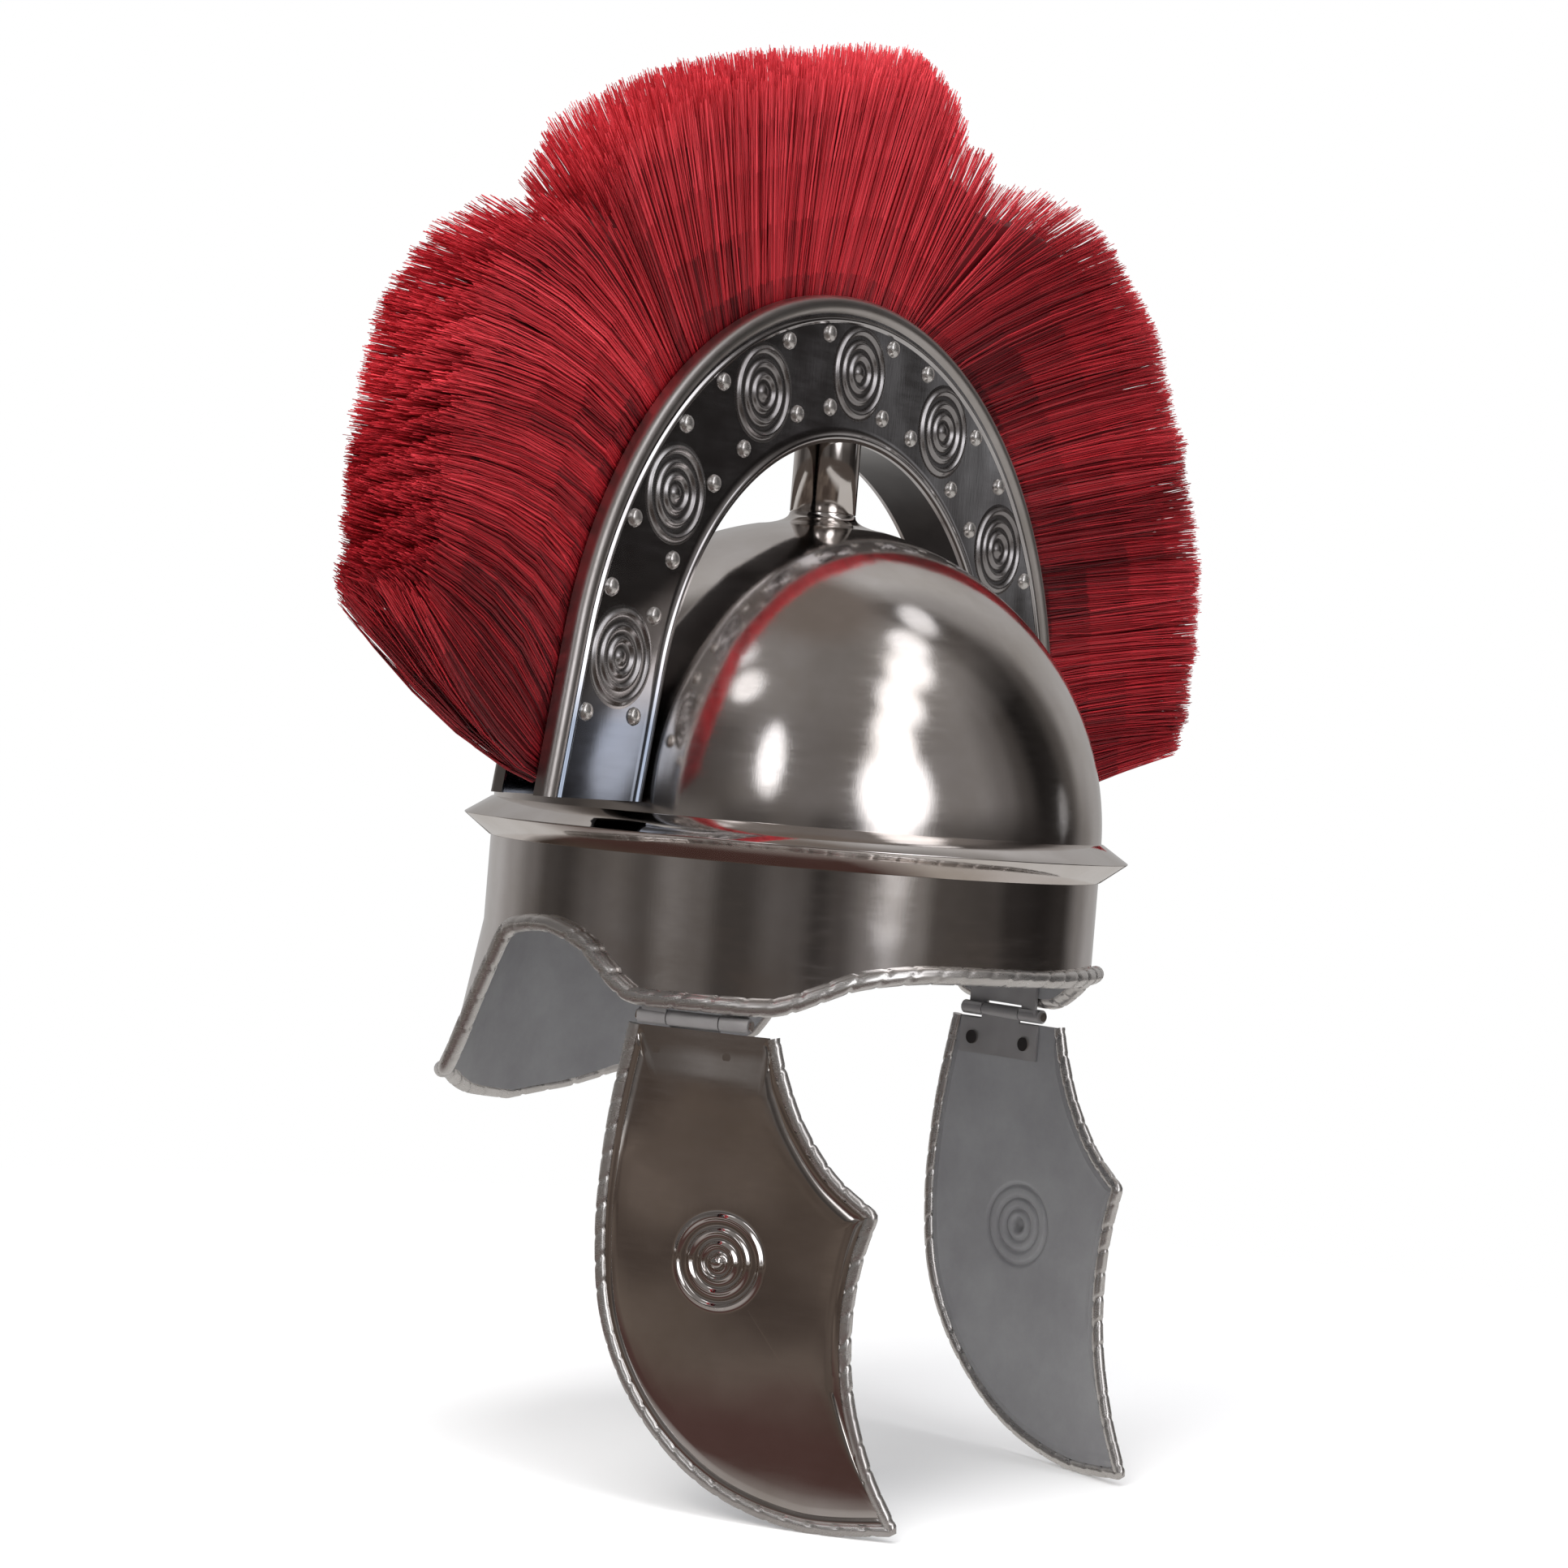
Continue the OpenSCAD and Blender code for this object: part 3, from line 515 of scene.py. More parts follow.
def rolled_edge(path, out, radius, nick_gap, lean_by, sides=16, gap=0.9):
    """A bead along the path, with slanting nicks of uneven depth cut into it."""
    both, along = even(np.concatenate([path, out], 1), gap)
    path, out = both[:, :3], both[:, 3:]
    t = unit(np.gradient(path, axis=0))
    u = unit(out - (out * t).sum(1, keepdims=True) * t)
    w = np.cross(t, u)
    a = np.linspace(0, 2 * np.pi, sides, endpoint=False)
    phase = (along[:, None] + lean_by * np.sin(a)[None]) / nick_gap
    which = np.round(phase).astype(int)
    off = np.abs(phase - which) * nick_gap
    rng = np.random.default_rng(int(path.sum()) % 1000 + 7)
    depths = rng.uniform(*nick_depths, int(phase.max()) + 3)
    nick = depths[which % len(np.unique(which))] * np.exp(-(off / nick_half) ** 2)
    swell = 1 + 0.035 * np.sin(along / 13)[:, None] + 0.02 * np.sin(along / 4.7)[:, None]
    r = (radius * np.minimum(1, swell * (1 - nick)))[..., None]
    cos, sin = np.cos(a)[None, :, None], np.sin(a)[None, :, None]
    ring = path[:, None] + r * (cos * u[:, None] + sin * w[:, None])
    points, faces = skin(ring, False, True)
    return points, [list(f) for f in faces] + end_caps(len(points), sides)


in_band = np.abs(loop[:, 0]) <= neck_start
points, faces = rolled_edge(*edge_path(loop[in_band]), roll_r, 10.0, 2.6)
piece("band_rolled_edge", "helmet", [rolled_steel], points, faces, sharp=60, replaces=["band_edge_roll"])
back = half[half[:, 0] >= neck_start]
back = np.concatenate([back, (back[:-1] * [-1, 1] + [360, 0])[::-1]])
points, faces = rolled_edge(*edge_path(back), roll_r, 13.0, 2.6)
piece("neck_rolled_edge", "helmet", [rolled_steel], points, faces, sharp=60, replaces=["neck_edge_roll"])
print("edges rolled")


# %% Walls of the band and the neck guard
def wall(name, top, low_angle, low_drop, flare, rows, node, closed):
    """A sheet from a level top down to the edge, whose radius grows by flare for each step down."""
    share = np.linspace(0, 1, rows)[None]
    angle = np.broadcast_to(low_angle[:, None], (len(low_angle), rows))
    z = top + (-low_drop[:, None] - top) * share
    grow = (top - z) * flare
    outer, inner = around(angle, band_r + grow, z), around(angle, head_in + grow, z)
    ring = np.concatenate([outer, inner[:, ::-1]], 1)
    points, faces = skin(ring, closed, True)
    faces = [list(f) for f in faces]
    if not closed:
        faces += [cap[::-1] for cap in end_caps(len(points), 2 * rows)]
    number = [1 if rows <= f[0] % (2 * rows) < 2 * rows - 1 else 0 for f in faces]
    return piece(name, "helmet", [steel, grey_steel], points, [f[::-1] for f in faces], number, 40, [node])


into_roll = 0.6
turn = np.radians(np.arange(-180, 180, 1.0))
edge_drop = np.interp(np.abs(np.degrees(turn)), half[:, 0], half[:, 1] - into_roll)
edge_drop = np.where(np.abs(np.degrees(turn)) > neck_start + 1, seam_drop, edge_drop)
wall("brow_band_sheet", -ridge_down, turn, edge_drop, 0.0, 8, "brow_band", True)

low, _ = even(back[back[:, 1] > seam_drop + 1.6], 1.0)
wall("neck_guard_sheet", -seam_drop, np.radians(low[:, 0]), low[:, 1] - into_roll, math.tan(neck_flare), 10,
     "neck_guard", False)
print("walls made")

# %% [markdown]
# The cheek guards
#
# Each guard is a sheet with one boss of three rings, pushed out from the back, so that both faces show
# it. A bump texture would not show the rings from the side. So a grid of rings runs from the middle of
# the boss out to the edge, which needs no cut. A shallow line runs round the edge where the roll begins.

# %% Ring ornament
def ring_height(r, size, middle):
    """Height of the ornament over the sheet at a distance from its middle."""
    bump = sum(1.1 * np.exp(-((r - c) / 0.85) ** 2) for c in (size * 0.36, size * 0.62, size - 1.5))
    knob = r / (size * 0.17)
    return bump + middle * np.exp(-knob ** 4) * (1 - 0.3 * knob ** 2).clip(0)


print("middle of a ring ornament:", ring_height(np.zeros(1), motif_r, 3.2).round(2).tolist(), "mm")


# %% Hinge frame
def from_hinge(p, side):
    """Points from the left hinge's frame to the helmet's, mirrored for the right side."""
    turn = math.radians(270) - hinge_turn
    c, s = math.cos(turn), math.sin(turn)
    x = hinge_r * math.sin(hinge_angle) + p[..., 0] * c - p[..., 1] * s
    y = -hinge_r * math.cos(hinge_angle) + p[..., 0] * s + p[..., 1] * c
    return np.stack([x if side == "left" else -x, y, hinge_z + p[..., 2]], -1)


def bent(x, lift):
    """How far out the bent sheet's outer face lies at x, plus a lift."""
    return sheet - cheek_bend + np.sqrt((cheek_bend + lift) ** 2 - (x - boss[0]) ** 2)


print("middle of the left hinge at", from_hinge(np.zeros(3), "left").round(1).tolist(), "mm")


# %% Cheek guard sheets and rolls
cheek_line = np.concatenate([smooth(rear_edge, 12), smooth(lower_front, 10)[1:],
                             smooth(upper_front, 10)[1:]])
raised = 0.12
edge_steps = ((0, 0), (1.4, 0), (2.2, -0.32), (3.0, 0), (5.0, raised), (9.0, raised))


def cheek_guard(side):
    flip = side == "right"
    line, _ = even(cheek_line, 1.6)
    for corner in (rear_edge[-1], upper_front[0]):
        line[np.argmin(np.linalg.norm(line - corner, axis=1))] = corner
    top = np.linspace(line[-1], line[0], 34)[1:-1]
    ring = np.concatenate([line, top])
    edge_way = unit(np.roll(ring, -1, 0) - np.roll(ring, 1, 0))
    inward = np.stack([-edge_way[:, 1], edge_way[:, 0]], 1)
    to_boss = unit(boss - ring)
    slant = np.maximum((inward * to_boss).sum(1), 0.55)
    on_top = np.arange(len(ring)) >= len(line)
    start = np.where(on_top, 0.0, cheek_roll_r * 0.9)
    rings, lifts = [], []
    for inset, lift in edge_steps:
        rings.append(ring + to_boss * ((start + inset) / slant)[:, None])
        lifts.append(np.where(on_top, 0.0, lift) + 0 * slant)
    last = rings[-1]
    rim = boss + unit(last - boss) * (motif_r + 2.5)
    for t in np.linspace(0, 1, 12)[1:]:
        rings.append(last + (rim - last) * t)
        lifts.append(raised + 0 * slant)
    for r in np.linspace(motif_r + 2, 0.05, 56):
        rings.append(boss + unit(last - boss) * r)
        lifts.append(ring_height(r, motif_r, 3.2) + raised + 0 * slant)
    flat, lift = np.array(rings), np.array(lifts)
    outer = np.stack([flat[..., 0], bent(flat[..., 0], lift), flat[..., 1]], -1)
    inner = np.stack([flat[..., 0], bent(flat[..., 0], lift - sheet), flat[..., 1]], -1)
    grid = from_hinge(np.concatenate([outer[::-1], inner]), side)
    points, faces = skin(grid, False, True)
    rows = len(rings)
    number = [0 if f[0] // len(ring) < rows else 1 for f in faces]
    faces = [list(f) if flip else list(f)[::-1] for f in faces]
    faces += [cap if flip else cap[::-1] for cap in end_caps(len(points), len(ring))]
    piece(f"{side}_cheek_sheet", f"{side}_cheek", [steel, grey_steel], points, faces, number + [0, 1], 40,
          [f"{side}_cheek_guard"])
    path, _ = even(cheek_line, 0.9)
    path = np.stack([path[:, 0], bent(path[:, 0], -sheet / 2), path[:, 1]], -1)
    out = np.broadcast_to([0.0, 1.0, 0.0], path.shape)
    points, faces = rolled_edge(path, out, cheek_roll_r, 9.0, 2.0, sides=14, gap=0.8)
    points = from_hinge(points, side)
    faces = [list(f)[::-1] for f in faces] if flip else faces
    piece(f"{side}_cheek_rolled_edge", f"{side}_cheek", [rolled_steel], points, faces, sharp=60,
          replaces=[f"{side}_cheek_roll"])


for side in ("right", "left"):
    cheek_guard(side)
print("cheek guards made")


# %% [markdown]
# The crest
#
# The crest is a box bent to an arch: a front and a back plate with rolled lips, a strip under them
# and a tube that drops on the helmet's spigot. A bevelled curve could carry the profile, but its ends
# have to be cut level over the ridge. So a profile is swept here along the arch and its straight legs,
# and every point of it stops at the same height. The ring ornaments and beads are turned and laid on.

# %% Sweeping along the crest
def along_crest(profile, bottom, arch_steps=180, leg_steps=16):
    """A closed profile of (radius, depth) swept from foot to foot, as a grid of rings."""
    r, y = np.array(profile, float).T
    rings = []
    leg_end = (crest_z + r * math.cos(leg_angle) - bottom) / math.sin(leg_angle)
    for share in np.linspace(1, 0, leg_steps, endpoint=False):
        down = leg_end * share
        rings.append(np.stack([-(r * math.sin(leg_angle) + down * math.cos(leg_angle)), y,
                               crest_z + r * math.cos(leg_angle) - down * math.sin(leg_angle)], -1))
    for a in np.linspace(-leg_angle, leg_angle, arch_steps):
        rings.append(np.stack([r * math.sin(a), y, crest_z + r * math.cos(a)], -1))
    for ring in rings[:leg_steps][::-1]:
        rings.append(ring * [-1, 1, 1])
    grid = np.array(rings)
    points, faces = skin(grid, False, True)
    return points, [list(f) for f in faces] + end_caps(len(points), grid.shape[1])


def plate_profile():
    """The plate's outline: raised inner lip, flat panel, fine line, full outer lip and slot flange."""
    y = crest_half
    groove = crest_out_r - 8.5
    outer = [(crest_in_r, y - 1), (crest_in_r, y + 0.5)]
    outer += arc((crest_in_r + 2.0, y + 0.2), 1.0, 150, 30, 6)
    outer += [(crest_in_r + 3.6, y + 0.25), (crest_in_r + 4.4, y), (crest_in_r + 6, y)]
    outer += [(r, y) for r in np.linspace(crest_in_r + 9, groove - 3, 6)]
    outer += [(groove - 1.3, y)] + arc((groove, y + 0.1), 0.8, 150, 30, 5) + [(groove + 1.3, y)]
    lip = arc((crest_out_r - 3.4, y - 1.7), 3.4, 122, 0, 12)
    outer += [(crest_out_r - 6.4, y), (crest_out_r - 5.9, y + 0.5)] + lip
    outer += [(crest_out_r, slot_half), (crest_out_r - 1, slot_half), (crest_out_r - 1, y - 1)]
    return [(r, -depth) for r, depth in outer], range(len(outer) - len(lip) - 5, len(outer) - 3)


print("points in the outline of a plate:", len(plate_profile()[0]))


# %% Ornaments on a plate
def ornament(size, height, rings, steps):
    """A low turned boss as points on z = 0, where height gives its profile."""
    r = np.linspace(0.02, size, rings)
    return skin(turned(list(zip(r, height(r))), steps), True, False)


def on_plate(points, radius, angle, side):
    """Lays z = 0 on the front plate at a place on the crest, or on the back plate if side is 1."""
    r = radius / math.cos(max(0, abs(angle) - leg_angle))
    x, z = r * math.sin(angle), crest_z + r * math.cos(angle)
    return np.stack([points[:, 0] + x, side * (crest_half + points[:, 2]), points[:, 1] + z], -1)


def dome_bead(r):
    """Height of a bead at a distance from its middle."""
    return 2.1 * np.sqrt((1 - (r / bead_r) ** 2).clip(0)) - 0.05


def ring_ornament(r):
    """Height of a ring ornament, whose rim sinks into the plate."""
    return ring_height(r, motif_r, 1.4) + 0.04 - 0.3 * (r - motif_r - 0.8).clip(0)


def crest_plate(name, side, node):
    profile, lip = plate_profile()
    points, faces = along_crest(profile, foot_z)
    points = points * [1, -side, 1]
    on_lip = [2 if f[0] % len(profile) in lip else 0 for f in faces]
    parts = [(points, faces if side < 0 else [f[::-1] for f in faces], on_lip)]
    ring_points, ring_faces = ornament(motif_r + 1.6, ring_ornament, 44, 56)
    bead_points, bead_faces = ornament(bead_r, dome_bead, 9, 24)
    flip = slice(None, None, -1 if side < 0 else 1)
    for i in range(motif_count):
        a = (i - (motif_count - 1) / 2) * motif_step
        parts.append((on_plate(ring_points, panel_mid, a, side), ring_faces[:, flip], 3))
        for turn in (-1, 1):
            for reach in (-1, 1):
                place = on_plate(bead_points, panel_mid + reach * bead_reach, a + turn * bead_angle, side)
                parts.append((place, bead_faces[:, flip], 1))
    points, faces, number = joined(*parts)
    finishes = [panel_steel, rolled_steel, lip_steel, ring_steel]
    piece(name, "crest", finishes, points, faces, number, 35, [node])


crest_plate("crest_front_sheet", -1, "crest_front")
crest_plate("crest_back_sheet", 1, "crest_back")
print("ring ornaments on each plate:", motif_count)

# %% Strip under the plates, and the tube
strip = [(crest_in_r, -(crest_half - 1)), (crest_in_r, crest_half - 1), (crest_in_r + 1.2, crest_half - 1),
         (crest_in_r + 1.2, -(crest_half - 1))]
points, faces = along_crest(strip, foot_z)
piece("crest_strip", "crest", [strip_painted_shade_steel], points, faces, sharp=40, replaces=["crest_soffit"])
tube_low, tube_high = neck_z + 0.3, crest_z + crest_in_r
profile = [(tube_r - 0.85, tube_low), (tube_r - 0.3, tube_low), (tube_r, tube_low + 0.4),
           (tube_r, tube_high), (tube_r - 0.85, tube_high)]
points, faces = skin(turned(profile, 96), True, True)
piece("crest_socket_tube", "crest", [steel], points, faces, sharp=40, replaces=["crest_tube"])
print("crest made")

# %% [markdown]
# The plume
#
# Real plumes are bundles of dyed horsehair. Blender's own hair would be quick to comb, but it doesn't
# leave Blender as a mesh. So each hair is a thin tapering mesh of three sides, and thousands of them give
# the combed streaks and the frayed outline, over a core in dark red, painted shade, that stops the light
# from showing through. The streaks and the painted shade come from nine reds, one for each stretch of a
# hair: painted shade darkens the roots, the hollows between locks and the side away from the light, and
# the hair is brighter towards the tips.

# %% Hair finishes
hair_tones = 9


def hair_colour(share):
    """A red that runs from nearly black at 0 to bright at 1."""
    dark, middle, bright = (0.27, 0.045, 0.065), (0.66, 0.125, 0.16), (0.95, 0.30, 0.34)
    return rgb(*(float(np.interp(share, (0, 0.5, 1), way)) for way in zip(dark, middle, bright)))


def dyed_red_and_painted_shade(share):
    """Hair of one red, the darker reds mostly painted shade. Which strand has which red makes the pattern."""
    def surface(start, shader):
        feed(shader, Base_Color=hair_colour(share), Roughness=0.42, Specular_IOR_Level=0.35)
    return surface


hair = [finish(f"red_hair_{n + 1}", dyed_red_and_painted_shade(n / (hair_tones - 1))) for n in range(hair_tones)]
print("reds of the hair:", len(hair))


# %% The lay of the hair
def lay(b, y, t):
    """Where a hair that roots at angle b and depth y is, after the share t of its way to the tip."""
    tip, reach, knee_way, knee = (np.interp(b, lean[:, 0], lean[:, k]) for k in range(1, 5))
    b, tip, knee_way = np.radians(b), np.radians(tip), np.radians(knee_way)
    r = root_r / np.cos(np.maximum(0, np.abs(b) - leg_angle))
    r_tip, knee = r + hair_len * reach, hair_len * knee
    x, z = r * np.sin(b), r * np.cos(b)
    old, middle, new = (1 - t) ** 2, 2 * t * (1 - t), t ** 2
    wide = 1 + (hair_tip_w / hair_root_w - 1) * t ** 1.3
    out = old * x + middle * (x + knee * np.sin(knee_way)) + new * r_tip * np.sin(tip)
    up = crest_z + old * z + middle * (z + knee * np.cos(knee_way)) + new * r_tip * np.cos(tip)
    return np.stack([out, y * wide, up], -1)


def wave(b, seed, step):
    """A smooth random curve over the angle b, from -1 to 1, with that step between its knots."""
    rng = np.random.default_rng(seed)
    knots = np.arange(-110, 110 + step, step)
    return np.interp(b, knots, rng.uniform(-1, 1, len(knots)))


print("the top hair ends", round(float(lay(0.0, 0.0, 1.0)[2]), 1), "mm over the ridge's edge")


# %% Numbers and tones of the hair
tufts = 8
per_tuft = 2900
steps = np.array([0.0, 0.22, 0.45, 0.68, 0.87, 1.0])
short_hairs, short_shares = 0.14, (0.72, 0.97)
hair_radii, tip_taper = (0.24, 0.44), 0.55
seeds = {"tuft": 40, "ends": 3, "lock": 5, "sway": 8, "depth": 11, "streak_and_painted_shade": 21, "patch_painted_shade": 31}
print("strands in all:", tufts * per_tuft)


def tones(b, side, middle, lock):
    """How bright each stretch is, 0 to 1, before the last uneven share: streaks and painted shade."""
    # Streaks: random tone, with painted shade in the hollows between locks.
    streak_and_painted_shade = np.clip(wave(b + 5 * side, seeds["streak_and_painted_shade"], 0.9), 0, 1) * 0.24 + np.clip(lock, 0, 1) * 0.14
    # Broad patches of painted shade over the plume.
    patch_painted_shade = np.clip(wave(b[:, None] + 4 * side[:, None] + 16 * middle, seeds["patch_painted_shade"], 7.0), 0, 1) * 0.22
    # Painted shade by lobe: darker on the lower left and on the right lobe, away from the light.
    lobe_painted_shade = 0.11 * np.clip((-58 - b) / 12, 0, 1) + 0.10 * np.clip((-80 - b) / 8, 0, 1)
    lobe_painted_shade += 0.19 * np.clip((b - 12) / 5, 0, 1) - 0.04
    # Painted shade in the hollow at the lower left.
    hollow_painted_shade = 0.20 * np.clip((-74 - b) / 8, 0, 1)[:, None] * np.exp(-((middle - 0.62) / 0.25) ** 2)
    # Painted shade near the roots, brighter towards the tips.
    rising = 0.36 - lobe_painted_shade[:, None] - hollow_painted_shade + 0.50 * middle ** 0.8
    return rising - streak_and_painted_shade[:, None] * (1.15 - 0.6 * middle) - patch_painted_shade


on_top = np.zeros(1)
print("brightness half way out on top:", tones(on_top, on_top, np.full((1, 1), 0.5), on_top).round(2))


# %% Strands
def strands(k):
    """One tuft's strands as points, faces and the finish number of each face."""
    rng = np.random.default_rng(seeds["tuft"] + k)
    span = 2 * hair_foot / tufts
    b = -hair_foot + span * (k + rng.random(per_tuft))
    side = rng.uniform(-1, 1, per_tuft)
    side = np.sign(side) * np.abs(side) ** 0.7
    lock = wave(b + 9 * side, seeds["lock"], 1.7)
    length = rng.uniform(0.97, 1.0, per_tuft) * (1 - 0.012 * np.abs(wave(b, seeds["ends"], 2.5)))
    length *= 1 - 0.12 * np.abs(side) ** 2.5 - 0.015 * np.abs(lock)
    short = rng.random(per_tuft) < short_hairs
    length = np.where(short, length * rng.uniform(*short_shares, per_tuft), length)
    t = steps[None] * length[:, None]
    aside = lock * 4.0 + wave(b + 23 * side, seeds["sway"], 5.0) * 3.0
    bow = rng.normal(0, 1.2, per_tuft)
    centre = lay(b[:, None], (side * hair_root_w * 0.5)[:, None], t)
    forward = unit(np.gradient(centre, axis=1))
    across = unit(np.cross(forward, [0.0, 1.0, 0.0]))
    bend = aside[:, None] * t ** 1.6 + bow[:, None] * np.sin(np.pi * t)
    centre += across * bend[..., None]
    forth = rng.normal(0, 0.6, per_tuft) + 1.2 * wave(b, seeds["depth"], 3.0)
    centre[..., 1] += forth[:, None] * t
    over = np.cross(forward, across)
    thick = rng.uniform(*hair_radii, per_tuft)[:, None] * (1 - tip_taper * steps[None] ** 2)
    spin = rng.uniform(0, 2 * np.pi, per_tuft)
    ring = []
    for m in range(3):
        a = (spin + 2 * np.pi * m / 3)[:, None, None]
        ring.append(centre + thick[..., None] * (np.cos(a) * across + np.sin(a) * over))
    grid = np.stack(ring, 2)
    index = np.arange(grid[..., 0].size).reshape(grid.shape[:3])
    low, high = index[:, :-1], index[:, 1:]
    faces = np.stack([low, np.roll(low, -1, 2), np.roll(high, -1, 2), high], -1)
    middle = (t[:, 1:] + t[:, :-1]) / 2
    bright = tones(b, side, middle, lock)
    bright = bright + rng.normal(0, 0.08, per_tuft)[:, None] + rng.uniform(-0.06, 0.06, middle.shape)
    number = np.clip(np.rint(bright * (hair_tones - 1)), 0, hair_tones - 1).astype(int)
    number = np.broadcast_to(number[..., None], faces.shape[:3])
    return grid.reshape(-1, 3), faces.reshape(-1, 4), number.ravel().tolist()


def painted_shade_core(k):
    """The inside of one tuft in dark red as painted shade, a plain lofted form that stays under the strands.
    """
    span = 2 * hair_foot / tufts
    ends = hair_foot - 1.2
    b = np.linspace(-hair_foot + span * k, -hair_foot + span * (k + 1), 26).clip(-ends, ends)
    up = np.array([0.0, 0.12, 0.3, 0.5, 0.66, 0.74])
    over = np.linspace(-1, 1, 9)[1:-1]
    half = 0.40 * hair_root_w
    rows = []
    for angle in b:
        front = lay(angle, -half + 0 * up, up)
        crown = lay(angle, half * over, up[-1] + 0.06 * (1 - over ** 2))
        rows.append(np.concatenate([front, crown, lay(angle, half + 0 * up, up)[::-1]]))
    grid = np.array(rows)
    points, faces = skin(grid, False, True)
    return points, [list(f) for f in faces] + end_caps(len(points), grid.shape[1])


for k in range(tufts):
    # Each core takes the second darkest red, as painted shade.
    points, faces, numbers = joined(strands(k), (*painted_shade_core(k), 1))
    piece(f"plume_tuft_{k + 1}", "crest", hair, points, faces, numbers, 180, [f"hair_tuft_{k + 1}"])
print("faces of the last tuft:", len(faces))

# %% [markdown]
# Floor, light and camera
#
# The photograph is a cut-out on white. More light would whiten the floor and the steel alike, so the lamps
# stay soft, and the floor turns white further out for the camera alone. Close to the helmet it takes a
# soft shadow. Rays that leave the steel see other ground: pale boards, and on the near side a brown rug
# with soft patches, since the polish of a cheek guard shows mostly what lies before it.

# %% Floor
low_z = min(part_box("right_cheek_roll")[0][2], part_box("left_cheek_roll")[0][2])
floor_half = 1.6
white_from, white_to, least_white = 0.22, 0.75, 0.12


def floor_surface(start, pale):
    """White for the camera further out, and boards with a rug for the rays that leave the steel."""
    feed(pale, Base_Color=rgb(0.95, 0.95, 0.95), Roughness=0.9, Specular_IOR_Level=0.0)
    to_camera = start.node("ShaderNodeLightPath", out="Is Camera Ray")
    to_steel = start.node("ShaderNodeLightPath", out="Is Glossy Ray")
    place = start.node("ShaderNodeTexCoord", out="Object")
    reach = place.node("ShaderNodeVectorMath", {0: place * (1.0, 1.0, 0.0)}, out="Value", operation="LENGTH")
    far_white = (reach.between(white_from, white_to) * (1 - least_white) + least_white) * to_camera
    white = start.node("ShaderNodeEmission", {"Color": (1.0, 1.0, 1.0, 1.0)})
    seen = start.node("ShaderNodeMixShader", {0: far_white, 1: Wire(start.tree, pale.outputs[0]), 2: white})
    off_line = place.node("ShaderNodeMath", {0: place.part("Y")}, operation="ABSOLUTE")
    rug = (place.part("X") * -1.0).between(0.0, 0.12) * (1.0 - off_line.between(0.9, 1.2))
    woven = place.noise(2.6, 2, 0.5).between(0.36, 0.64).mix(rgb(0.27, 0.235, 0.215),
                                                             rgb(0.405, 0.365, 0.335))
    woven = reach.between(0.27, 0.42).mix(rgb(0.315, 0.235, 0.222), woven)
    rug_brown = reach.between(0.14, 0.20).mix(rgb(0.60, 0.58, 0.57), woven)
    boards = start.node("ShaderNodeEmission", {"Color": rug.mix(rgb(0.76, 0.75, 0.74), rug_brown)})
    seen = start.node("ShaderNodeMixShader", {0: to_steel, 1: seen, 2: boards})
    start.tree.links.new(seen.socket, start.tree.nodes["Material Output"].inputs["Surface"])


mesh = bpy.data.meshes.new("floor")
corners = [(floor_half * x, floor_half * y, low_z) for x, y in ((-1, -1), (1, -1), (1, 1), (-1, 1))]
mesh.from_pydata(corners, [], [(0, 1, 2, 3)])
floor = bpy.data.objects.new("floor", mesh)
scene.collection.objects.link(floor)
floor.data.materials.append(finish("pale_floor", floor_surface))
print("floor", 2 * floor_half, "m wide at", round(low_z, 4), "m")

# %% Camera
camera_place = Vector((-1110.0, -739.0, 33.0)) * MM
camera_turn = math.radians(-56.09)
camera_rise = math.radians(0.61)
camera_roll = math.radians(4.68)
level = math.cos(camera_rise)
back_way = Vector((math.sin(camera_turn) * level, -math.cos(camera_turn) * level, math.sin(camera_rise)))
right_way = (-back_way).cross(Vector((0, 0, 1))).normalized()
up_way = right_way.cross(-back_way)
roll = (math.cos(camera_roll), math.sin(camera_roll))
right_way, up_way = right_way * roll[0] + up_way * roll[1], up_way * roll[0] - right_way * roll[1]
camera = bpy.data.objects.new("camera", bpy.data.cameras.new("camera"))
camera.data.sensor_width = 36.0
camera.data.lens = 84.56
facing = Matrix((right_way, up_way, back_way)).transposed().to_4x4()
camera.matrix_world = Matrix.Translation(camera_place) @ facing
camera.data.clip_start, camera.data.clip_end = 0.05, 50
scene.collection.objects.link(camera)
scene.camera = camera
print("camera", round(camera_place.length, 3), "m away")


# %% Lamps
def lamp(name, turn, rise, distance, size, power, colour=(1, 1, 1)):
    """A soft box at an angle from the camera's side, turned towards the helmet."""
    a = camera_turn + math.radians(turn)
    e = math.radians(rise)
    way = Vector((math.sin(a) * math.cos(e), -math.cos(a) * math.cos(e), math.sin(e)))
    light = bpy.data.lights.new(name, "AREA")
    light.shape, light.size, light.size_y = "RECTANGLE", size[0], size[1]
    light.energy, light.color = power, colour
    made = bpy.data.objects.new(name, light)
    made.location = way * distance + Vector((0, 0, 0.03))
    made.rotation_mode = "QUATERNION"
    made.rotation_quaternion = way.to_track_quat("Z", "Y")
    made.visible_glossy = False
    scene.collection.objects.link(made)


lamp("key", -32, 34, 1.9, (1.1, 1.1), 25, (1.0, 0.98, 0.95))
lamp("fill", 46, 28, 1.9, (1.2, 1.2), 10)
lamp("overhead", -10, 76, 1.7, (1.3, 1.3), 24)
print("lamps:", len(bpy.data.lights))

# %% [markdown]
# The room that the steel shows
#
# Polished steel has hardly any colour of its own, so its look is the look of the room. A picture could be
# wrapped round the scene, but a few tones are enough and easy to change. Three rings of tones lie above
# each other round the camera's line, as lists of degrees and grey: walls, high walls and ceiling. Windows
# and lamps are soft ovals: middle and half size across and upward in degrees, and glow. They were placed
# by working back from where a ball of this size would show them. Only rays that leave the steel see the
# room. The camera sees plain white.

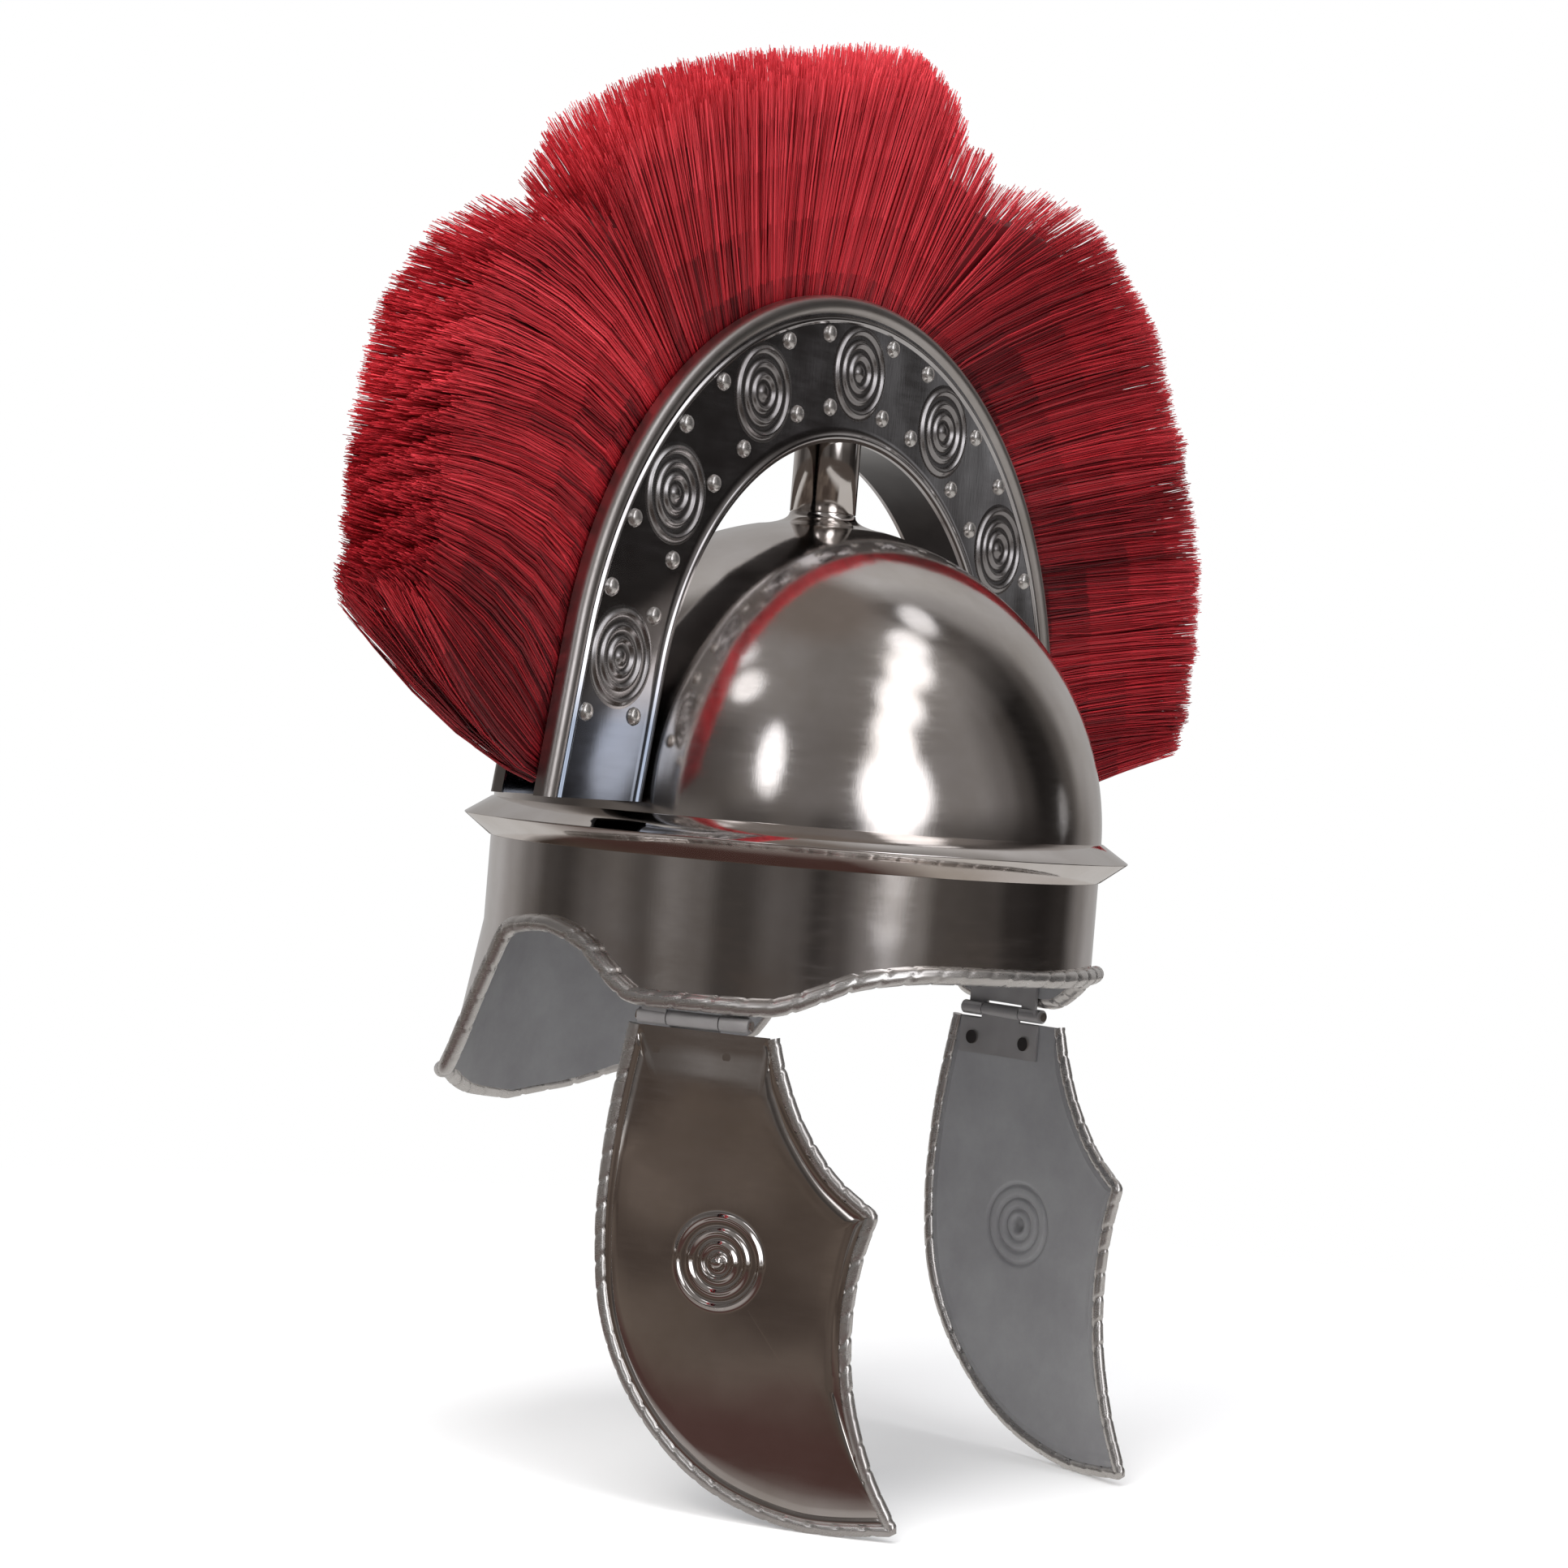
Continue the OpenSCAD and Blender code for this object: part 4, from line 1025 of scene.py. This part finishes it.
# %% Tones of the room
walls = [(-180, 0.72), (-146, 0.68), (-130, 0.58), (-114, 0.42), (-103, 0.28), (-93, 0.24), (-80, 0.34),
         (-68, 0.40), (-56, 0.32), (-45, 0.46), (-34, 0.40), (-24, 0.26), (-17, 0.26), (-6, 0.35), (1, 0.33),
         (10, 0.21), (18, 0.28), (30, 0.46), (37, 0.56), (47, 0.49), (55, 0.31), (80, 0.27), (90, 0.18),
         (106, 0.14), (122, 0.19), (136, 0.48), (150, 0.62), (180, 0.72)]
high_walls = [(-180, 0.66), (-135, 0.62), (-100, 0.34), (-60, 0.36), (-42, 0.30), (-30, 0.34), (-20, 0.44),
              (5, 0.43), (60, 0.49), (72, 0.50), (84, 0.40), (94, 0.27), (105, 0.11), (114, 0.14),
              (124, 0.32), (136, 0.60), (150, 0.66), (180, 0.66)]
ceiling = [(-180, 0.64), (-135, 0.70), (-110, 0.40), (-80, 0.30), (-60, 0.42), (-40, 0.52), (-15, 0.52),
           (5, 0.48), (30, 0.48), (75, 0.55), (90, 0.50), (105, 0.36), (118, 0.32), (132, 0.58),
           (150, 0.72), (180, 0.64)]
lamps = [(-12.5, 24, 5, 12, 1.7), (-32, 50, 7, 6, 1.4), (-48, 61, 9, 5, 0.9), (36, 15, 13, 14, 2.4),
         (38, 33, 9, 10, 2.0), (47, 46, 11, 9, 1.9), (64, 56, 15, 7, 1.8), (80, 62, 14, 6, 1.5),
         (112, 62, 12, 5, 1.0), (117.5, 6, 3, 4.5, 0.3)]
warmth = np.array([0.0, 0.10, 0.15])
print("tones in the room:", len(walls) + len(high_walls) + len(ceiling), "and ovals:", len(lamps))

# %% World
world = bpy.data.worlds.new("room")
world.use_nodes = True
scene.world = world
tree = world.node_tree
start = Wire(tree)
to_camera = start.node("ShaderNodeLightPath", out="Is Camera Ray")
to_steel = start.node("ShaderNodeLightPath", out="Is Glossy Ray")
way = start.node("ShaderNodeTexCoord", out="Generated")
turned_way = way.node("ShaderNodeVectorRotate", {"Vector": way, "Angle": -camera_turn},
                      rotation_type="Z_AXIS")
x, y, z = (turned_way.part(axis) for axis in "XYZ")
turn = x.maths("ARCTAN2", x, y * -1.0) * (180 / math.pi)
rise = z.maths("ARCSINE", z) * (180 / math.pi)


def ring_of_tones(tones):
    """A level of the room as a ramp round the camera's line."""
    ramp = turn.node("ShaderNodeValToRGB", {"Fac": turn * (1 / 360) + 0.5},
                     stops=[((a + 180) / 360, rgb(*(tone * (1 - warmth * (1 - tone) ** 2))))
                            for a, tone in tones])
    ramp.socket.node.color_ramp.interpolation = "EASE"
    return ramp


room = rise.between(-4.8, -3.6).mix(rgb(0.31, 0.28, 0.262), ring_of_tones(walls))
room = rise.between(1, 10).mix(room, ring_of_tones(high_walls))
room = rise.between(32, 48).mix(room, ring_of_tones(ceiling))
room = rise.between(68, 78).mix(room, rgb(0.46, 0.43, 0.41))
for across, up, half_across, half_up, glow in lamps:
    aside, above = (turn - across) * (1 / half_across), (rise - up) * (1 / half_up)
    from_middle = aside * aside + above * above
    lit = from_middle.between(1.9, 0.3, interpolation_type="SMOOTHSTEP")
    room = lit.mix(room, (glow, glow, glow * 1.03, 1.0))
soft = rgb(0.82, 0.82, 0.83)
seen = to_steel.mix(soft, room)
seen = to_camera.mix(seen, (1.0, 1.0, 1.0, 1.0))
tree.links.new(seen.socket, tree.nodes["Background"].inputs["Color"])
scene.view_settings.view_transform = "Standard"
print("nodes in the room:", len(tree.nodes))
